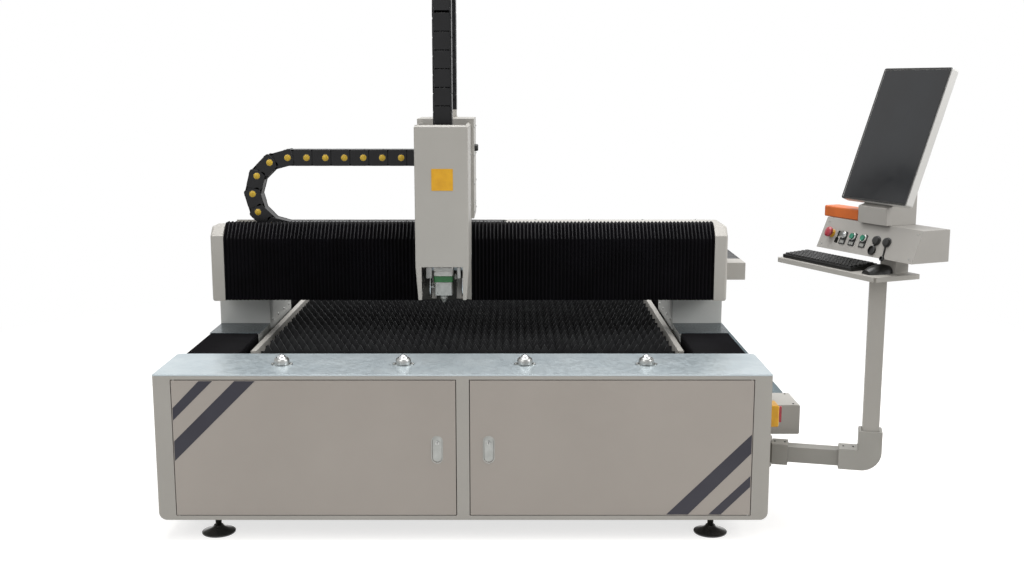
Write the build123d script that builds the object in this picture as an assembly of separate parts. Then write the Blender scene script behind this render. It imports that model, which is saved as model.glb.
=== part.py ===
from build123d import *
import math
import os

# A laser cutting machine with an open bed. Millimetres, +Z up, +X to the right as seen from the front,
# +Y towards the back. Everything is laid out from the middle of the bed's front face at floor level,
# and the whole machine is moved at the end so that its origin is the middle of its footprint.

# Bed
bed_width = 2300
bed_length = 4650
bed_bottom = 83
bed_wall = 8
bed_edge_radius = 30
side_beam_width = 260
side_beam_top = 560
deck_top = 642
cabinet_depth = 350
fascia_thickness = 30
end_plate_thickness = 10
cross_member_size = 60
cross_member_pitch = 900

# Front plate
plate_thickness = 6
plate_corner_radius = 22

# Gap between pieces that are put together
fitting_gap = 0.2

# Doors
door_gap = 3
stile_half_width = 24
fascia_end_width = 65
door_sill = 100
door_header = 628
door_thickness = 20
door_sheet = 2
hinge_pin_radius = 4
hinge_inset = 8
hinge_setback = 6.2
hinge_pin_reach = 8
running_clearance = 0.05

# Door latches
latch_length = 100
latch_width = 37
latch_from_stile = 51
latch_height = 309
latch_cup_depth = 14
latch_cup_wall = 2
latch_paddle_thickness = 5
latch_pin_radius = 2.5
latch_pin_length = 35
latch_pivot_rise = 6
latch_gap = 1

# Levelling feet
foot_pad_radius = 64
foot_pad_height = 30
foot_stem_radius = 12
foot_side_inset = 200
foot_front_y = 92

# Ball transfer units
ball_radius = 19
ball_housing_radius = 29
ball_housing_height = 26
ball_flange_length = 84
ball_flange_width = 40
ball_flange_thickness = 4
ball_pitch = 466
ball_y = 162
ball_show = 14

# Slats
slat_pitch = 100
slat_count = 31
slat_first_y = 554
slat_thickness = 4
slat_end_gap = 28
slat_foot = 520
slat_tip = 640
slat_tooth_height = 28
slat_tooth_pitch = 96
rack_plate_thickness = 24
rack_plate_top = 628
rack_ledge = 26
rack_ledge_thickness = 20
rack_overhang = 70

# Slag tray
slag_tray_side_gap = 90
slag_tray_height = 100
slag_tray_wall = 3

# Guides of the long axis
y_rail_inset = 90
y_rail_width = 34
y_rail_height = 30
y_rack_inset = 147.5
y_rack_width = 25
y_rack_height = 30
y_pinion_radius = 24.7
mesh_gap = 0.3

# Gantry feet
foot_block_inset = 25
foot_block_width = 222
foot_block_front = 963
foot_block_depth = 507
foot_block_wall = 10
foot_skirt = 619
foot_rear_top = 1000
foot_rear_slope = 90
saddle_front = 745
saddle_back = 1500
saddle_bottom = 604
saddle_top = 646
saddle_inner_step = 9
saddle_outer_step = 7
saddle_cover_thickness = 3

# Chain arm on the right foot
chain_arm_front = 1000
chain_arm_back = 1133
chain_arm_reach = 108
chain_arm_gap = 3

# Beam
beam_front = 830
beam_back = 1046
beam_bottom = 785
beam_top = 1037
beam_wall = 8
beam_end_inset = 71
end_cap_thickness = 56
end_cap_front = 770
end_cap_top = 1107
end_cap_chamfer = 40
end_cap_radius = 12
x_rail_width = 20
x_rail_height = 15
x_rail_low = 830
x_rail_high = 1000
x_rack_front = 835
x_rack_width = 24.5
x_rack_height = 23
x_pinion_radius = 20
tray_front = 905
tray_back = 1043
tray_sheet = 3
tray_wall_top = 1108
tray_front_wall_top = 1060
lid_start = 150

# Bellows of the cross axis
x_pleat_pitch = 32
x_pleat_depth = 8
x_bellows_sheet = 3
x_bellows_front = 772
x_bellows_top = 1118
x_bellows_back = 898
x_bellows_bottom = 788
x_bellows_slope = 60

# Bellows of the long axis
y_pleat_pitch = 64
y_pleat_depth = 8
y_bellows_sheet = 2
y_bellows_outer_inset = 28
y_bellows_inner_inset = 22
y_bellows_skirt = 566

# Carriage on the beam
carriage_x = -97.25
carriage_width = 214.5
carriage_plate_front = 772
carriage_plate_thickness = 14
carriage_plate_bottom = 790
carriage_plate_top = 1440
deck_bottom = 1135
deck_thickness = 12
housing_side = 12.5
housing_back = 1055
housing_top = 1565
housing_wall = 4
x_shaft_radius = 12
x_motor_size = 90
x_motor_height = 190

# Head cover
cover_front = 440
cover_top = 1541
cover_face_bottom = 982
cover_cheek_bottom = 848
cover_cheek_width = 24.5
cover_taper = 10
cover_wall = 3
cover_lip = 12

# Z axis
z_rail_offset = 53
z_rail_width = 20
z_rail_height = 28
z_rail_bottom = 800
z_rail_top = 1420
z_slide_front = 690
z_slide_thickness = 12
z_slide_width = 150
z_slide_bottom = 967
z_slide_top = 1400
z_block_height = 70
z_screw_radius = 8
z_screw_y = 742
z_nut_bottom = 1180
z_nut_height = 50
z_motor_size = 60
z_motor_height = 105
slide_gap = 0.3

# Cutting head
head_y = 560
head_width = 78
head_arm_thickness = 12
head_block_height = 22
head_ring_height = 25
head_body_height = 56
head_body_taper = 3
nozzle_height = 33
nozzle_radius = 14
nozzle_tip_radius = 3
nozzle_bore_radius = 1.2

# Drag chains
chain_height = 71
chain_width = 77
chain_pitch = 83
chain_link_gap = 5
x_chain_y = 958
x_chain_radius = 158
x_chain_bend_x = -795
x_chain_fixed_x = 144
y_chain_radius = 223
y_chain_bend_y = 2683
y_chain_fixed_y = 2600
z_chain_radius = 200
z_chain_bend_z = 1990
z_chain_front_y = 595

# Chain tray and electrical box on the right side
side_tray_width = 131
side_tray_bottom = 398
side_tray_top = 478
side_tray_sheet = 2
side_box_front = 210
side_box_back = 399
side_box_reach = 158
side_box_bottom = 357
side_box_top = 474
side_box_wall = 3
isolator_front = 40
isolator_width = 80
isolator_height = 84
isolator_bottom = 434
isolator_depth = 38
isolator_knob_radius = 29
isolator_knob_depth = 6
isolator_grip_length = 62
isolator_grip_width = 16
isolator_reach = 16

# Pendant arm
arm_pivot_reach = 22
arm_pivot_y = 160.8
arm_yaw = -14
arm_reach = 381.7
arm_centre_z = 305
tube_size = 60
tube_wall = 3
collar_size = 80
collar_length = 80
lug_thickness = 18
lug_gap = 2
lug_radius = 20
arm_pin_radius = 8
elbow_start = 268
elbow_width = 86
elbow_radius = 75
elbow_top = 418
tube_insert = 45
post_top = 1000
post_cap = 8
spigot_radius = 18
spigot_height = 20

# Console
console_yaw = -65.7
console_half_length = 257
console_front = -85
console_back = 84
console_bottom = 1090
console_height = 114
console_slope = 49
console_wall = 3
tray_left = -406
tray_right = 163
tray_near = -160
tray_far = 45
tray_top = 1034
tray_lip = 18
tray_wall = 2
riser_left = 40
riser_width = 80
riser_depth = 60
swivel_radius = 42
swivel_gap = 0.3

# Monitor
monitor_width = 344
monitor_height = 513
monitor_thickness = 34
monitor_tilt = 20.4
monitor_x = 12
monitor_y = -58
monitor_z = 1286
monitor_bezel = 9
monitor_recess = 4
screen_thickness = 3
stand_half_width = 76
stand_front = -55
stand_wall = 2
stand_rise = 98

# Controls on the console's sloped face
e_stop_x = -197
key_x = -127
start_x = -75
stop_x = -17
socket_a_x = 52
socket_b_x = 106
control_row = 62
e_stop_radius = 20
e_stop_height = 13
e_stop_stem_radius = 8
e_stop_collar_radius = 15
e_stop_collar_height = 9
button_radius = 11
button_bezel_radius = 15
button_bezel_height = 6
button_height = 9
key_bezel_radius = 14
key_bezel_height = 8
key_length = 26
key_width = 20
key_thickness = 3
socket_radius = 14
socket_height = 12

# Loose things on the console
keyboard_length = 400
keyboard_depth = 128
keyboard_height = 14
mouse_length = 104
mouse_width = 62
mouse_height = 34
remote_length = 196
remote_height = 42
remote_depth = 70

floor_z = 0
plate_top = deck_top + plate_thickness
half_width = bed_width / 2
inner_half_width = half_width - side_beam_width
door_outer_jamb = half_width - fascia_end_width
foot_x = half_width - foot_side_inset
slat_half_length = inner_half_width - slat_end_gap
slag_tray_half_width = inner_half_width - slag_tray_side_gap
y_rail_x = half_width - y_rail_inset
y_rack_x = half_width - y_rack_inset
foot_block_outer = half_width - foot_block_inset
foot_block_inner = foot_block_outer - foot_block_width
saddle_inner = foot_block_inner + saddle_inner_step
saddle_outer = foot_block_outer - saddle_outer_step
beam_half_length = foot_block_outer - beam_end_inset
y_bellows_outer = half_width - y_bellows_outer_inset
y_bellows_inner = inner_half_width + y_bellows_inner_inset
chain_arm_outer = foot_block_outer + chain_arm_reach
side_tray_outer = half_width + side_tray_width
side_box_outer = half_width + side_box_reach
arm_pivot_x = half_width + arm_pivot_reach
carriage_left = carriage_x - carriage_width / 2
carriage_right = carriage_x + carriage_width / 2
console_top = console_bottom + console_height
arm_end_x = arm_pivot_x + arm_reach * math.cos(math.radians(arm_yaw))
arm_end_y = arm_pivot_y + arm_reach * math.sin(math.radians(arm_yaw))
arm_place = Location((arm_pivot_x, arm_pivot_y, 0), (0, 0, arm_yaw))
console_place = Location((arm_end_x, arm_end_y, 0), (0, 0, console_yaw))


def block(x, y, z):
    """A box between two values on each axis."""
    size = Box(x[1] - x[0], y[1] - y[0], z[1] - z[0], align=(Align.MIN, Align.MIN, Align.MIN))
    return Pos(x[0], y[0], z[0]) * size


def side_profile(points, x):
    """An outline of (y, z) points that runs along X between two values."""
    face = make_face(Polyline(*[(x[0], y, z) for y, z in points], close=True))
    return extrude(face, amount=x[1] - x[0], dir=(1, 0, 0))


def front_profile(points, y):
    """An outline of (x, z) points that runs along Y between two values."""
    face = make_face(Polyline(*[(x, y[0], z) for x, z in points], close=True))
    return extrude(face, amount=y[1] - y[0], dir=(0, 1, 0))


def upright(radius, x, y, z):
    """A vertical cylinder between two heights."""
    return Pos(x, y, z[0]) * Cylinder(radius, z[1] - z[0], align=(Align.CENTER, Align.CENTER, Align.MIN))


def mirrored(shape):
    """The same shape on the other side of the machine's middle."""
    return shape.mirror(Plane.YZ)


def pair(shape):
    """A shape and its mirror image, as two solids of one node."""
    return Compound([shape, mirrored(shape)])


def door_opening_half():
    """The opening of the right door in the fascia."""
    return block((stile_half_width, door_outer_jamb), (-1, fascia_thickness + 1), (door_sill, door_header))


def arm_lugs():
    """The two ears and the upright pin that carry the pendant arm on the bed's right side."""
    low = arm_centre_z - collar_size / 2 - lug_gap
    high = arm_centre_z + collar_size / 2 + lug_gap
    lugs = None
    for z in ((low - lug_thickness, low), (high, high + lug_thickness)):
        ear = block((half_width, arm_pivot_x), (arm_pivot_y - lug_radius, arm_pivot_y + lug_radius), z)
        ear += upright(lug_radius, arm_pivot_x, arm_pivot_y, z)
        lugs = ear if lugs is None else lugs + ear
    return lugs + upright(arm_pin_radius, arm_pivot_x, arm_pivot_y, (low - lug_thickness, high + lug_thickness))


def cross_member_top():
    """The cross members end just under the slat racks."""
    return slat_foot - rack_ledge_thickness - fitting_gap


def bed_frame():
    """The welded bed: a cabinet in front, a hollow side beam along each side and a well between them."""
    body = block((-half_width, half_width), (0, bed_length), (bed_bottom, side_beam_top))
    body += block((-half_width, half_width), (0, cabinet_depth), (bed_bottom, deck_top))
    long_edges = body.edges().filter_by(Axis.Y).group_by(Axis.Z)[0]
    body = fillet(long_edges, bed_edge_radius)
    floor_top = bed_bottom + bed_wall
    body -= block(
        (-half_width + bed_wall, half_width - bed_wall),
        (fascia_thickness, cabinet_depth - bed_wall),
        (floor_top, deck_top - bed_wall),
    )
    body -= block(
        (-inner_half_width, inner_half_width),
        (cabinet_depth - bed_wall - 1, bed_length - bed_wall),
        (floor_top, deck_top - bed_wall),
    )
    for side in (1, -1):
        cavity = block(
            (inner_half_width + bed_wall, half_width - bed_wall),
            (cabinet_depth + bed_wall, bed_length + 1),
            (floor_top, side_beam_top - bed_wall),
        )
        opening = door_opening_half()
        end_plate = block(
            (y_bellows_inner, y_bellows_outer),
            (bed_length - end_plate_thickness, bed_length),
            (side_beam_top, plate_top),
        )
        if side < 0:
            cavity, opening, end_plate = mirrored(cavity), mirrored(opening), mirrored(end_plate)
        body = body - cavity - opening + end_plate
    y = slat_first_y + cross_member_pitch / 2
    while y < slat_first_y + slat_pitch * (slat_count - 1):
        body += block(
            (-inner_half_width, inner_half_width),
            (y, y + cross_member_size),
            (cross_member_top() - cross_member_size, cross_member_top()),
        )
        y += cross_member_pitch
    return body + arm_lugs()


def front_plate():
    """The metal loading plate on top of the cabinet, with rounded back corners."""
    plate = block((-half_width, half_width), (0, cabinet_depth), (deck_top, plate_top))
    return fillet(plate.edges().filter_by(Axis.Z).group_by(Axis.Y)[-1], plate_corner_radius)


def levelling_foot(x, y):
    """A trumpet-shaped pad with its threaded stem, turned as one piece."""
    outline = Polyline(
        (0, floor_z),
        (foot_pad_radius, floor_z),
        (foot_pad_radius, 5),
        (foot_pad_radius * 0.8, 9),
        (foot_pad_radius * 0.42, 18),
        (foot_stem_radius + 6, foot_pad_height),
        (foot_stem_radius, foot_pad_height),
        (foot_stem_radius, bed_bottom),
        (0, bed_bottom),
        close=True,
    )
    return Pos(x, y, 0) * revolve(make_face(Plane.XZ * outline), Axis.Z)


def levelling_feet():
    """Three feet under each side of the bed."""
    rows = (foot_front_y, bed_length / 2, bed_length - foot_front_y)
    return Compound([levelling_foot(x, y) for y in rows for x in (-foot_x, foot_x)])


def ball_transfer_units():
    """Four ball transfer units on the front plate, each a housing with its ball."""
    pieces = []
    for i in range(4):
        x = (i - 1.5) * ball_pitch
        flange = extrude(
            Plane((x, ball_y, plate_top)) * SlotOverall(ball_flange_length, ball_flange_width),
            ball_flange_thickness,
        )
        cup = upright(ball_housing_radius, x, ball_y, (plate_top, plate_top + ball_housing_height))
        centre_z = plate_top + ball_housing_height + ball_show - ball_radius
        cup = chamfer(cup.edges().group_by(Axis.Z)[-1], 5)
        seat_radius = ball_radius + mesh_gap
        seat = upright(seat_radius, x, ball_y, (centre_z - seat_radius, centre_z + seat_radius))
        pieces.append(flange + cup - seat)
        pieces.append(Pos(x, ball_y, centre_z) * Sphere(ball_radius))
    return Compound(pieces)


def slat():
    """One toothed support slat that stands on the ledges of the racks."""
    teeth = int(2 * slat_half_length // slat_tooth_pitch)
    start = -teeth * slat_tooth_pitch / 2
    points = [(-slat_half_length, slat_foot), (slat_half_length, slat_foot)]
    valley = slat_tip - slat_tooth_height
    points.append((slat_half_length, valley))
    for i in range(teeth, 0, -1):
        right = start + i * slat_tooth_pitch
        points.append((right, valley))
        points.append((right - slat_tooth_pitch / 2, slat_tip))
    points.append((start, valley))
    points.append((-slat_half_length, valley))
    return front_profile(points, (-slat_thickness / 2, slat_thickness / 2))


def slats():
    """The row of slats that carries the sheet."""
    one = slat()
    return Compound([Pos(0, slat_first_y + i * slat_pitch, 0) * one for i in range(slat_count)])


def slat_racks():
    """An angle along each side of the well: an upright plate and the ledge that the slats stand on."""
    along = (slat_first_y - rack_overhang, slat_first_y + slat_pitch * (slat_count - 1) + rack_overhang)
    outer = inner_half_width - fitting_gap
    inner = outer - rack_plate_thickness
    low = slat_foot - rack_ledge_thickness
    plate = block((inner, outer), along, (low, rack_plate_top))
    ledge = block((inner - rack_ledge, inner), along, (low, slat_foot))
    return pair(plate + ledge)


def slag_tray():
    """An open sheet tray on the floor of the well that catches slag and cut parts."""
    along = (slat_first_y, slat_first_y + slat_pitch * (slat_count - 1))
    floor_top = bed_bottom + bed_wall
    half, wall = slag_tray_half_width, slag_tray_wall
    tray = block((-half, half), along, (floor_top, floor_top + slag_tray_height))
    return tray - block(
        (-half + wall, half - wall),
        (along[0] + wall, along[1] - wall),
        (floor_top + wall, floor_top + slag_tray_height + 1),
    )


def y_guides():
    """A linear rail and a gear rack on top of each side beam."""
    along = (cabinet_depth + 5, bed_length - end_plate_thickness - 5)
    rail = block(
        (y_rail_x - y_rail_width / 2, y_rail_x + y_rail_width / 2),
        along,
        (side_beam_top, side_beam_top + y_rail_height),
    )
    rack = block(
        (y_rack_x - y_rack_width / 2, y_rack_x + y_rack_width / 2),
        along,
        (side_beam_top, side_beam_top + y_rack_height),
    )
    return Compound([rail, rack, mirrored(rail), mirrored(rack)])


def latch_centre_x():
    """The latch's place on the right door."""
    return stile_half_width + door_gap + latch_from_stile + latch_width / 2


def door():
    """The right door: a folded pan with a cup for its latch and holes for its two hinge pins."""
    x = (stile_half_width + door_gap, door_outer_jamb - door_gap)
    z = (door_sill + door_gap, door_header - door_gap)
    sheet = door_sheet
    pan = block(x, (0, door_thickness), z)
    pan -= block(
        (x[0] + sheet, x[1] - sheet), (sheet, door_thickness + 1), (z[0] + sheet, z[1] - sheet)
    )
    cx = latch_centre_x()
    wall = latch_cup_wall
    outer = Plane.XZ * SlotOverall(latch_length + 2 * wall, latch_width + 2 * wall, rotation=90)
    inner = Plane.XZ * SlotOverall(latch_length, latch_width, rotation=90)
    mid_z = latch_height + latch_length / 2
    pan += Pos(cx, latch_cup_depth + wall, mid_z) * extrude(outer, latch_cup_depth + wall)
    pan -= Pos(cx, latch_cup_depth, mid_z) * extrude(inner, latch_cup_depth + 1)
    pan -= latch_pin(latch_pin_radius + running_clearance, latch_pin_length + 2)
    pan -= upright(hinge_pin_radius + running_clearance, x[1] - hinge_inset, hinge_setback, (z[0] - 1, z[1] + 1))
    return pan


def latch_pin(radius, length):
    """The level pivot near the latch's lower end, as a cylinder."""
    pin = Rot(0, 90, 0) * Cylinder(radius, length)
    return Pos(latch_centre_x(), latch_cup_depth / 2, latch_height + latch_pivot_rise) * pin


def latch():
    """The oblong paddle of the right door's latch, with its pivot pin near the lower end."""
    length, width = latch_length - 2 * latch_gap, latch_width - 2 * latch_gap
    mid_z = latch_height + latch_length / 2
    cx = latch_centre_x()
    paddle = extrude(Plane.XZ * SlotOverall(length, width, rotation=90), latch_paddle_thickness)
    paddle = Pos(cx, latch_cup_depth / 2 + latch_paddle_thickness / 2, mid_z) * paddle
    return paddle + latch_pin(latch_pin_radius, latch_pin_length)


def door_pins():
    """The hinge pins of both doors, upright in the sill and the header."""
    x = door_outer_jamb - door_gap - hinge_inset
    y = hinge_setback
    low = upright(hinge_pin_radius, x, y, (door_sill, door_sill + hinge_pin_reach))
    high = upright(hinge_pin_radius, x, y, (door_header - hinge_pin_reach, door_header))
    return Compound([low, high, mirrored(low), mirrored(high)])


def side_box():
    """The electrical box on the bed's right side, open towards the bed."""
    x = (half_width, side_box_outer)
    y = (side_box_front, side_box_back)
    z = (side_box_bottom, side_box_top)
    wall = side_box_wall
    box = block(x, y, z)
    box = fillet(box.edges().filter_by(Axis.Y).group_by(Axis.X)[-1], 6)
    return box - block((x[0] - 1, x[1] - wall), (y[0] + wall, y[1] - wall), (z[0] + wall, z[1] - wall))


def isolator_plate():
    """The yellow housing of the main switch on the bed's right side, narrower towards its face."""
    wide = (isolator_front, isolator_front + isolator_width)
    low, high = isolator_bottom, isolator_bottom + isolator_height
    housing = block((half_width, half_width + isolator_depth), wide, (low, high))
    housing = fillet(housing.edges().filter_by(Axis.X), 5)
    return chamfer(housing.edges().group_by(Axis.X)[-1], 4)


def isolator_handle():
    """The red turning handle of the main switch: a knob with a grip across it."""
    y = isolator_front + isolator_width / 2
    z = isolator_bottom + isolator_height / 2 - 2
    face = half_width + isolator_depth + mesh_gap
    knob = Pos(face, y, z) * Rot(0, 90, 0) * Cylinder(
        isolator_knob_radius, isolator_knob_depth, align=(Align.CENTER, Align.CENTER, Align.MIN)
    )
    grip = block(
        (face, face + isolator_reach),
        (y - isolator_grip_width / 2, y + isolator_grip_width / 2),
        (z - isolator_grip_length / 2, z + isolator_grip_length / 2),
    )
    return knob + fillet(grip.edges().filter_by(Axis.X), 5)


def y_chain_tray():
    """The open channel along the bed's right side that the long drag chain lies in."""
    sheet = side_tray_sheet
    x = (half_width, side_tray_outer)
    y = (side_box_back, bed_length - 20)
    channel = block(x, y, (side_tray_bottom, side_tray_top))
    return channel - block(
        (x[0] + sheet, x[1] - sheet), (y[0] - 1, y[1] + 1), (side_tray_bottom + sheet, side_tray_top + 1)
    )


def gantry_foot():
    """The right foot: a saddle plate on the rail and a hollow housing that carries the beam's end."""
    inner, outer = foot_block_inner, foot_block_outer
    front, back = foot_block_front, foot_block_front + foot_block_depth
    wall = foot_block_wall
    outline = [
        (front, foot_skirt),
        (back, foot_skirt),
        (back, foot_rear_top - foot_rear_slope),
        (back - foot_rear_slope, foot_rear_top),
        (beam_back + wall / 2, foot_rear_top),
        (beam_back + wall / 2, beam_bottom),
        (front, beam_bottom),
    ]
    cavity = [
        (front + wall, saddle_top - 1),
        (back - wall, saddle_top - 1),
        (back - wall, foot_rear_top - foot_rear_slope - wall / 2),
        (back - foot_rear_slope - wall / 2, foot_rear_top - wall),
        (beam_back + 1.5 * wall, foot_rear_top - wall),
        (beam_back + 1.5 * wall, beam_bottom - wall),
        (front + wall, beam_bottom - wall),
    ]
    body = side_profile(outline, (inner, outer))
    body -= side_profile(cavity, (inner + wall, outer - wall))
    saddle = block((saddle_inner, saddle_outer), (saddle_front, saddle_back), (saddle_bottom, saddle_top))
    shaft_hole = upright(motor_shaft_hole(), y_pinion_x(), y_motor_y(), (saddle_bottom - 1, saddle_top + 1))
    body = body + saddle - shaft_hole
    for y in (saddle_front + 60, saddle_back - 60 - 120):
        body += y_bearing_block(y)
    return body


def y_bearing_block(y):
    """A runner block under the saddle that wraps the rail's top and sides."""
    low = side_beam_top + 6
    runner = block((y_rail_x - 40, y_rail_x + 40), (y, y + 120), (low, saddle_bottom))
    return runner - block(
        (y_rail_x - y_rail_width / 2 - slide_gap, y_rail_x + y_rail_width / 2 + slide_gap),
        (y - 1, y + 121),
        (low - 1, side_beam_top + y_rail_height + slide_gap),
    )


def motor_shaft_hole():
    """The hole that a drive shaft passes through."""
    return x_shaft_radius + 3


def y_pinion_x():
    """The pinion's axis, a working radius inside the rack."""
    return y_rack_x - y_rack_width / 2 - y_pinion_radius - mesh_gap


def y_motor_y():
    """The drives stand in the middle of the feet."""
    return foot_block_front + foot_block_depth / 2 + 40


def y_gearmotor():
    """The right drive: motor, gearbox and the pinion on its shaft."""
    x, y = y_pinion_x(), y_motor_y()
    body = block((x - 44, x + 44), (y - 44, y + 44), (saddle_top, saddle_top + 90))
    body += upright(38, x, y, (saddle_top + 90, saddle_top + 240))
    body += upright(x_shaft_radius, x, y, (side_beam_top + 3, saddle_top))
    return body + upright(y_pinion_radius, x, y, (side_beam_top + 2, side_beam_top + y_rack_height))


def chain_arm():
    """The bracket on the right foot that the long drag chain's moving end is fixed to."""
    top = y_chain_upper_z() + chain_height / 2
    low = top - chain_width
    arm = block((foot_block_outer, chain_arm_outer), (chain_arm_front, chain_arm_back), (low, top))
    return arm - block(
        (foot_block_outer - 1, chain_arm_outer - 4),
        (chain_arm_front + 4, chain_arm_back + 1),
        (low + 4, top - 4),
    )


def saddle_covers():
    """The metal cover plate in front of each foot, on top of its saddle."""
    cover = block(
        (foot_block_inner + 2, foot_block_outer - 2),
        (saddle_front, foot_block_front),
        (saddle_top, saddle_top + saddle_cover_thickness),
    )
    return pair(cover)


def beam():
    """The cross beam: a hollow tube with the chain tray on its top and a lid over the tray's free half."""
    half = beam_half_length
    wall = beam_wall
    tube = block((-half, half), (beam_front, beam_back), (beam_bottom, beam_top))
    tube -= block(
        (-half - 1, half + 1), (beam_front + wall, beam_back - wall), (beam_bottom + wall, beam_top - wall)
    )
    sheet = tray_sheet
    tray = block((-half, half), (tray_front, tray_back), (beam_top, beam_top + sheet))
    tray += block((-half, half), (tray_front, tray_front + sheet), (beam_top, tray_front_wall_top))
    tray += block((-half, half), (tray_back - sheet, tray_back), (beam_top, tray_wall_top))
    lid = block((lid_start, half), (tray_front, tray_back), (tray_wall_top - sheet, tray_wall_top))
    lid += block((lid_start, half), (tray_front, tray_front + sheet), (beam_top, tray_wall_top))
    return tube + tray + lid


def end_cap():
    """The painted cap on the beam's right end, with a sloped upper front edge."""
    top, slope = end_cap_top, end_cap_chamfer
    outline = [
        (end_cap_front, beam_bottom),
        (beam_back, beam_bottom),
        (beam_back, top),
        (end_cap_front + slope, top),
        (end_cap_front, top - slope),
    ]
    cap = side_profile(outline, (beam_half_length, beam_half_length + end_cap_thickness))
    outer_edges = cap.edges().filter_by_position(
        Axis.X, beam_half_length + end_cap_thickness - 1, beam_half_length + end_cap_thickness + 1
    )
    cap = fillet(outer_edges, end_cap_radius)
    return cap - block(
        (beam_half_length - 1, beam_half_length + end_cap_thickness - beam_wall),
        (end_cap_front + beam_wall, beam_back - beam_wall),
        (beam_bottom + beam_wall, top - slope - beam_wall),
    )


def end_caps():
    """Both caps. The left one is cut away behind, where the cross chain's tray runs out over it."""
    right = end_cap()
    outer = beam_half_length + end_cap_thickness
    notch = block(
        (-outer - 1, -beam_half_length + 1), (tray_front - fitting_gap, beam_back + 1), (beam_top, end_cap_top + 1)
    )
    return Compound([right, mirrored(right) - notch])


def x_guides():
    """Two rails on the beam's front face and the gear rack on its top."""
    along = (-beam_half_length + 5, beam_half_length - 5)
    pieces = []
    for z in (x_rail_low, x_rail_high):
        pieces.append(
            block(along, (beam_front - x_rail_height, beam_front), (z - x_rail_width / 2, z + x_rail_width / 2))
        )
    pieces.append(
        block(along, (x_rack_front, x_rack_front + x_rack_width), (beam_top, beam_top + x_rack_height))
    )
    return Compound(pieces)


def x_bellows_section(x, inset):
    """The strip outline of one fold at x, drawn inwards by inset."""
    front = x_bellows_front + inset
    top = x_bellows_top - inset
    slope = x_bellows_slope
    sheet = x_bellows_sheet
    points = [
        (front, x_bellows_bottom),
        (front, top - slope),
        (front + slope, top),
        (x_bellows_back, top),
        (x_bellows_back, top - sheet),
        (front + slope + sheet / 2, top - sheet),
        (front + sheet, top - slope - sheet / 2),
        (front + sheet, x_bellows_bottom),
    ]
    return Wire(Polyline(*[(x, y, z) for y, z in points], close=True).edges())


def x_bellows(x0, x1):
    """The folded cover of the beam's front between two places."""
    folds = 2 * round((x1 - x0) / x_pleat_pitch)
    step = (x1 - x0) / folds
    sections = [x_bellows_section(x0 + i * step, x_pleat_depth * (i % 2)) for i in range(folds + 1)]
    return Solid.make_loft(sections, ruled=True)


def y_bellows_top(y0, y1):
    """The folded sheet over one rail between two places, with a flat skirt on each side."""
    folds = 2 * max(1, round((y1 - y0) / y_pleat_pitch))
    step = (y1 - y0) / folds
    sheet = y_bellows_sheet
    upper = [(y0 + i * step, plate_top - y_pleat_depth * (i % 2)) for i in range(folds + 1)]
    lower = [(y, z - sheet) for y, z in reversed(upper)]
    roof = side_profile(upper + lower, (y_bellows_inner, y_bellows_outer))
    skirt_top = plate_top - y_pleat_depth - sheet
    for x in ((y_bellows_inner, y_bellows_inner + sheet), (y_bellows_outer - sheet, y_bellows_outer)):
        skirt = block(x, (y0, y1), (y_bellows_skirt, skirt_top + sheet / 2))
        roof += skirt
    return roof


def carriage():
    """The carriage: an upright plate on the rails, a deck over the beam and a housing behind."""
    left, right = carriage_left, carriage_right
    front = carriage_plate_front
    plate_back = front + carriage_plate_thickness
    deck_top_z = deck_bottom + deck_thickness
    body = block((left, right), (front, plate_back), (carriage_plate_bottom, carriage_plate_top))
    body += block((left, right), (front, housing_back), (deck_bottom, deck_top_z))
    wall = housing_wall
    x = (left - housing_side, right + housing_side)
    shell = block(x, (front, housing_back), (deck_top_z, housing_top))
    shell -= block(
        (x[0] + wall, x[1] - wall), (front + wall, housing_back - wall), (deck_top_z - 1, housing_top - wall)
    )
    shell -= block((left, right), (front - 1, front + wall + 1), (deck_top_z - 1, housing_top - 30))
    body += shell
    floor_strip = block(x, (front, housing_back), (deck_top_z - wall, deck_top_z))
    body += floor_strip
    body -= upright(motor_shaft_hole(), carriage_x, x_pinion_y(), (deck_bottom - 1, deck_top_z + 1))
    for z in (x_rail_low, x_rail_high):
        for side in (-1, 1):
            body += x_bearing_block(carriage_x + side * 62, z)
    for side in (-1, 1):
        x = carriage_x + side * z_rail_offset
        body += block(
            (x - z_rail_width / 2, x + z_rail_width / 2),
            (front - z_rail_height, front),
            (z_rail_bottom, z_rail_top),
        )
    return body + z_chain_bracket()


def z_chain_rear_y():
    """The middle of the vertical chain's fixed run."""
    return z_chain_front_y + 2 * z_chain_radius


def z_chain_bracket():
    """The angle on top of the housing that the vertical drag chain's fixed end is screwed to."""
    y = (z_chain_rear_y() - chain_height / 2, z_chain_rear_y() + chain_height / 2)
    foot = block((carriage_x - 40, carriage_x + 40), y, (housing_top, housing_top + 6))
    return foot + block((carriage_x - 40, carriage_x + 40), (y[0], y[0] + 4), (housing_top, housing_top + 35))


def x_bearing_block(x, z):
    """A runner block behind the carriage plate that wraps a rail."""
    back = carriage_plate_front + carriage_plate_thickness
    runner = block((x - 35, x + 35), (back, beam_front - 3), (z - 26, z + 26))
    half = x_rail_width / 2 + slide_gap
    return runner - block(
        (x - 36, x + 36), (beam_front - x_rail_height - slide_gap, beam_front), (z - half, z + half)
    )


def x_pinion_y():
    """The cross drive's axis, a working radius behind its rack."""
    return x_rack_front + x_rack_width + x_pinion_radius + mesh_gap


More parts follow.
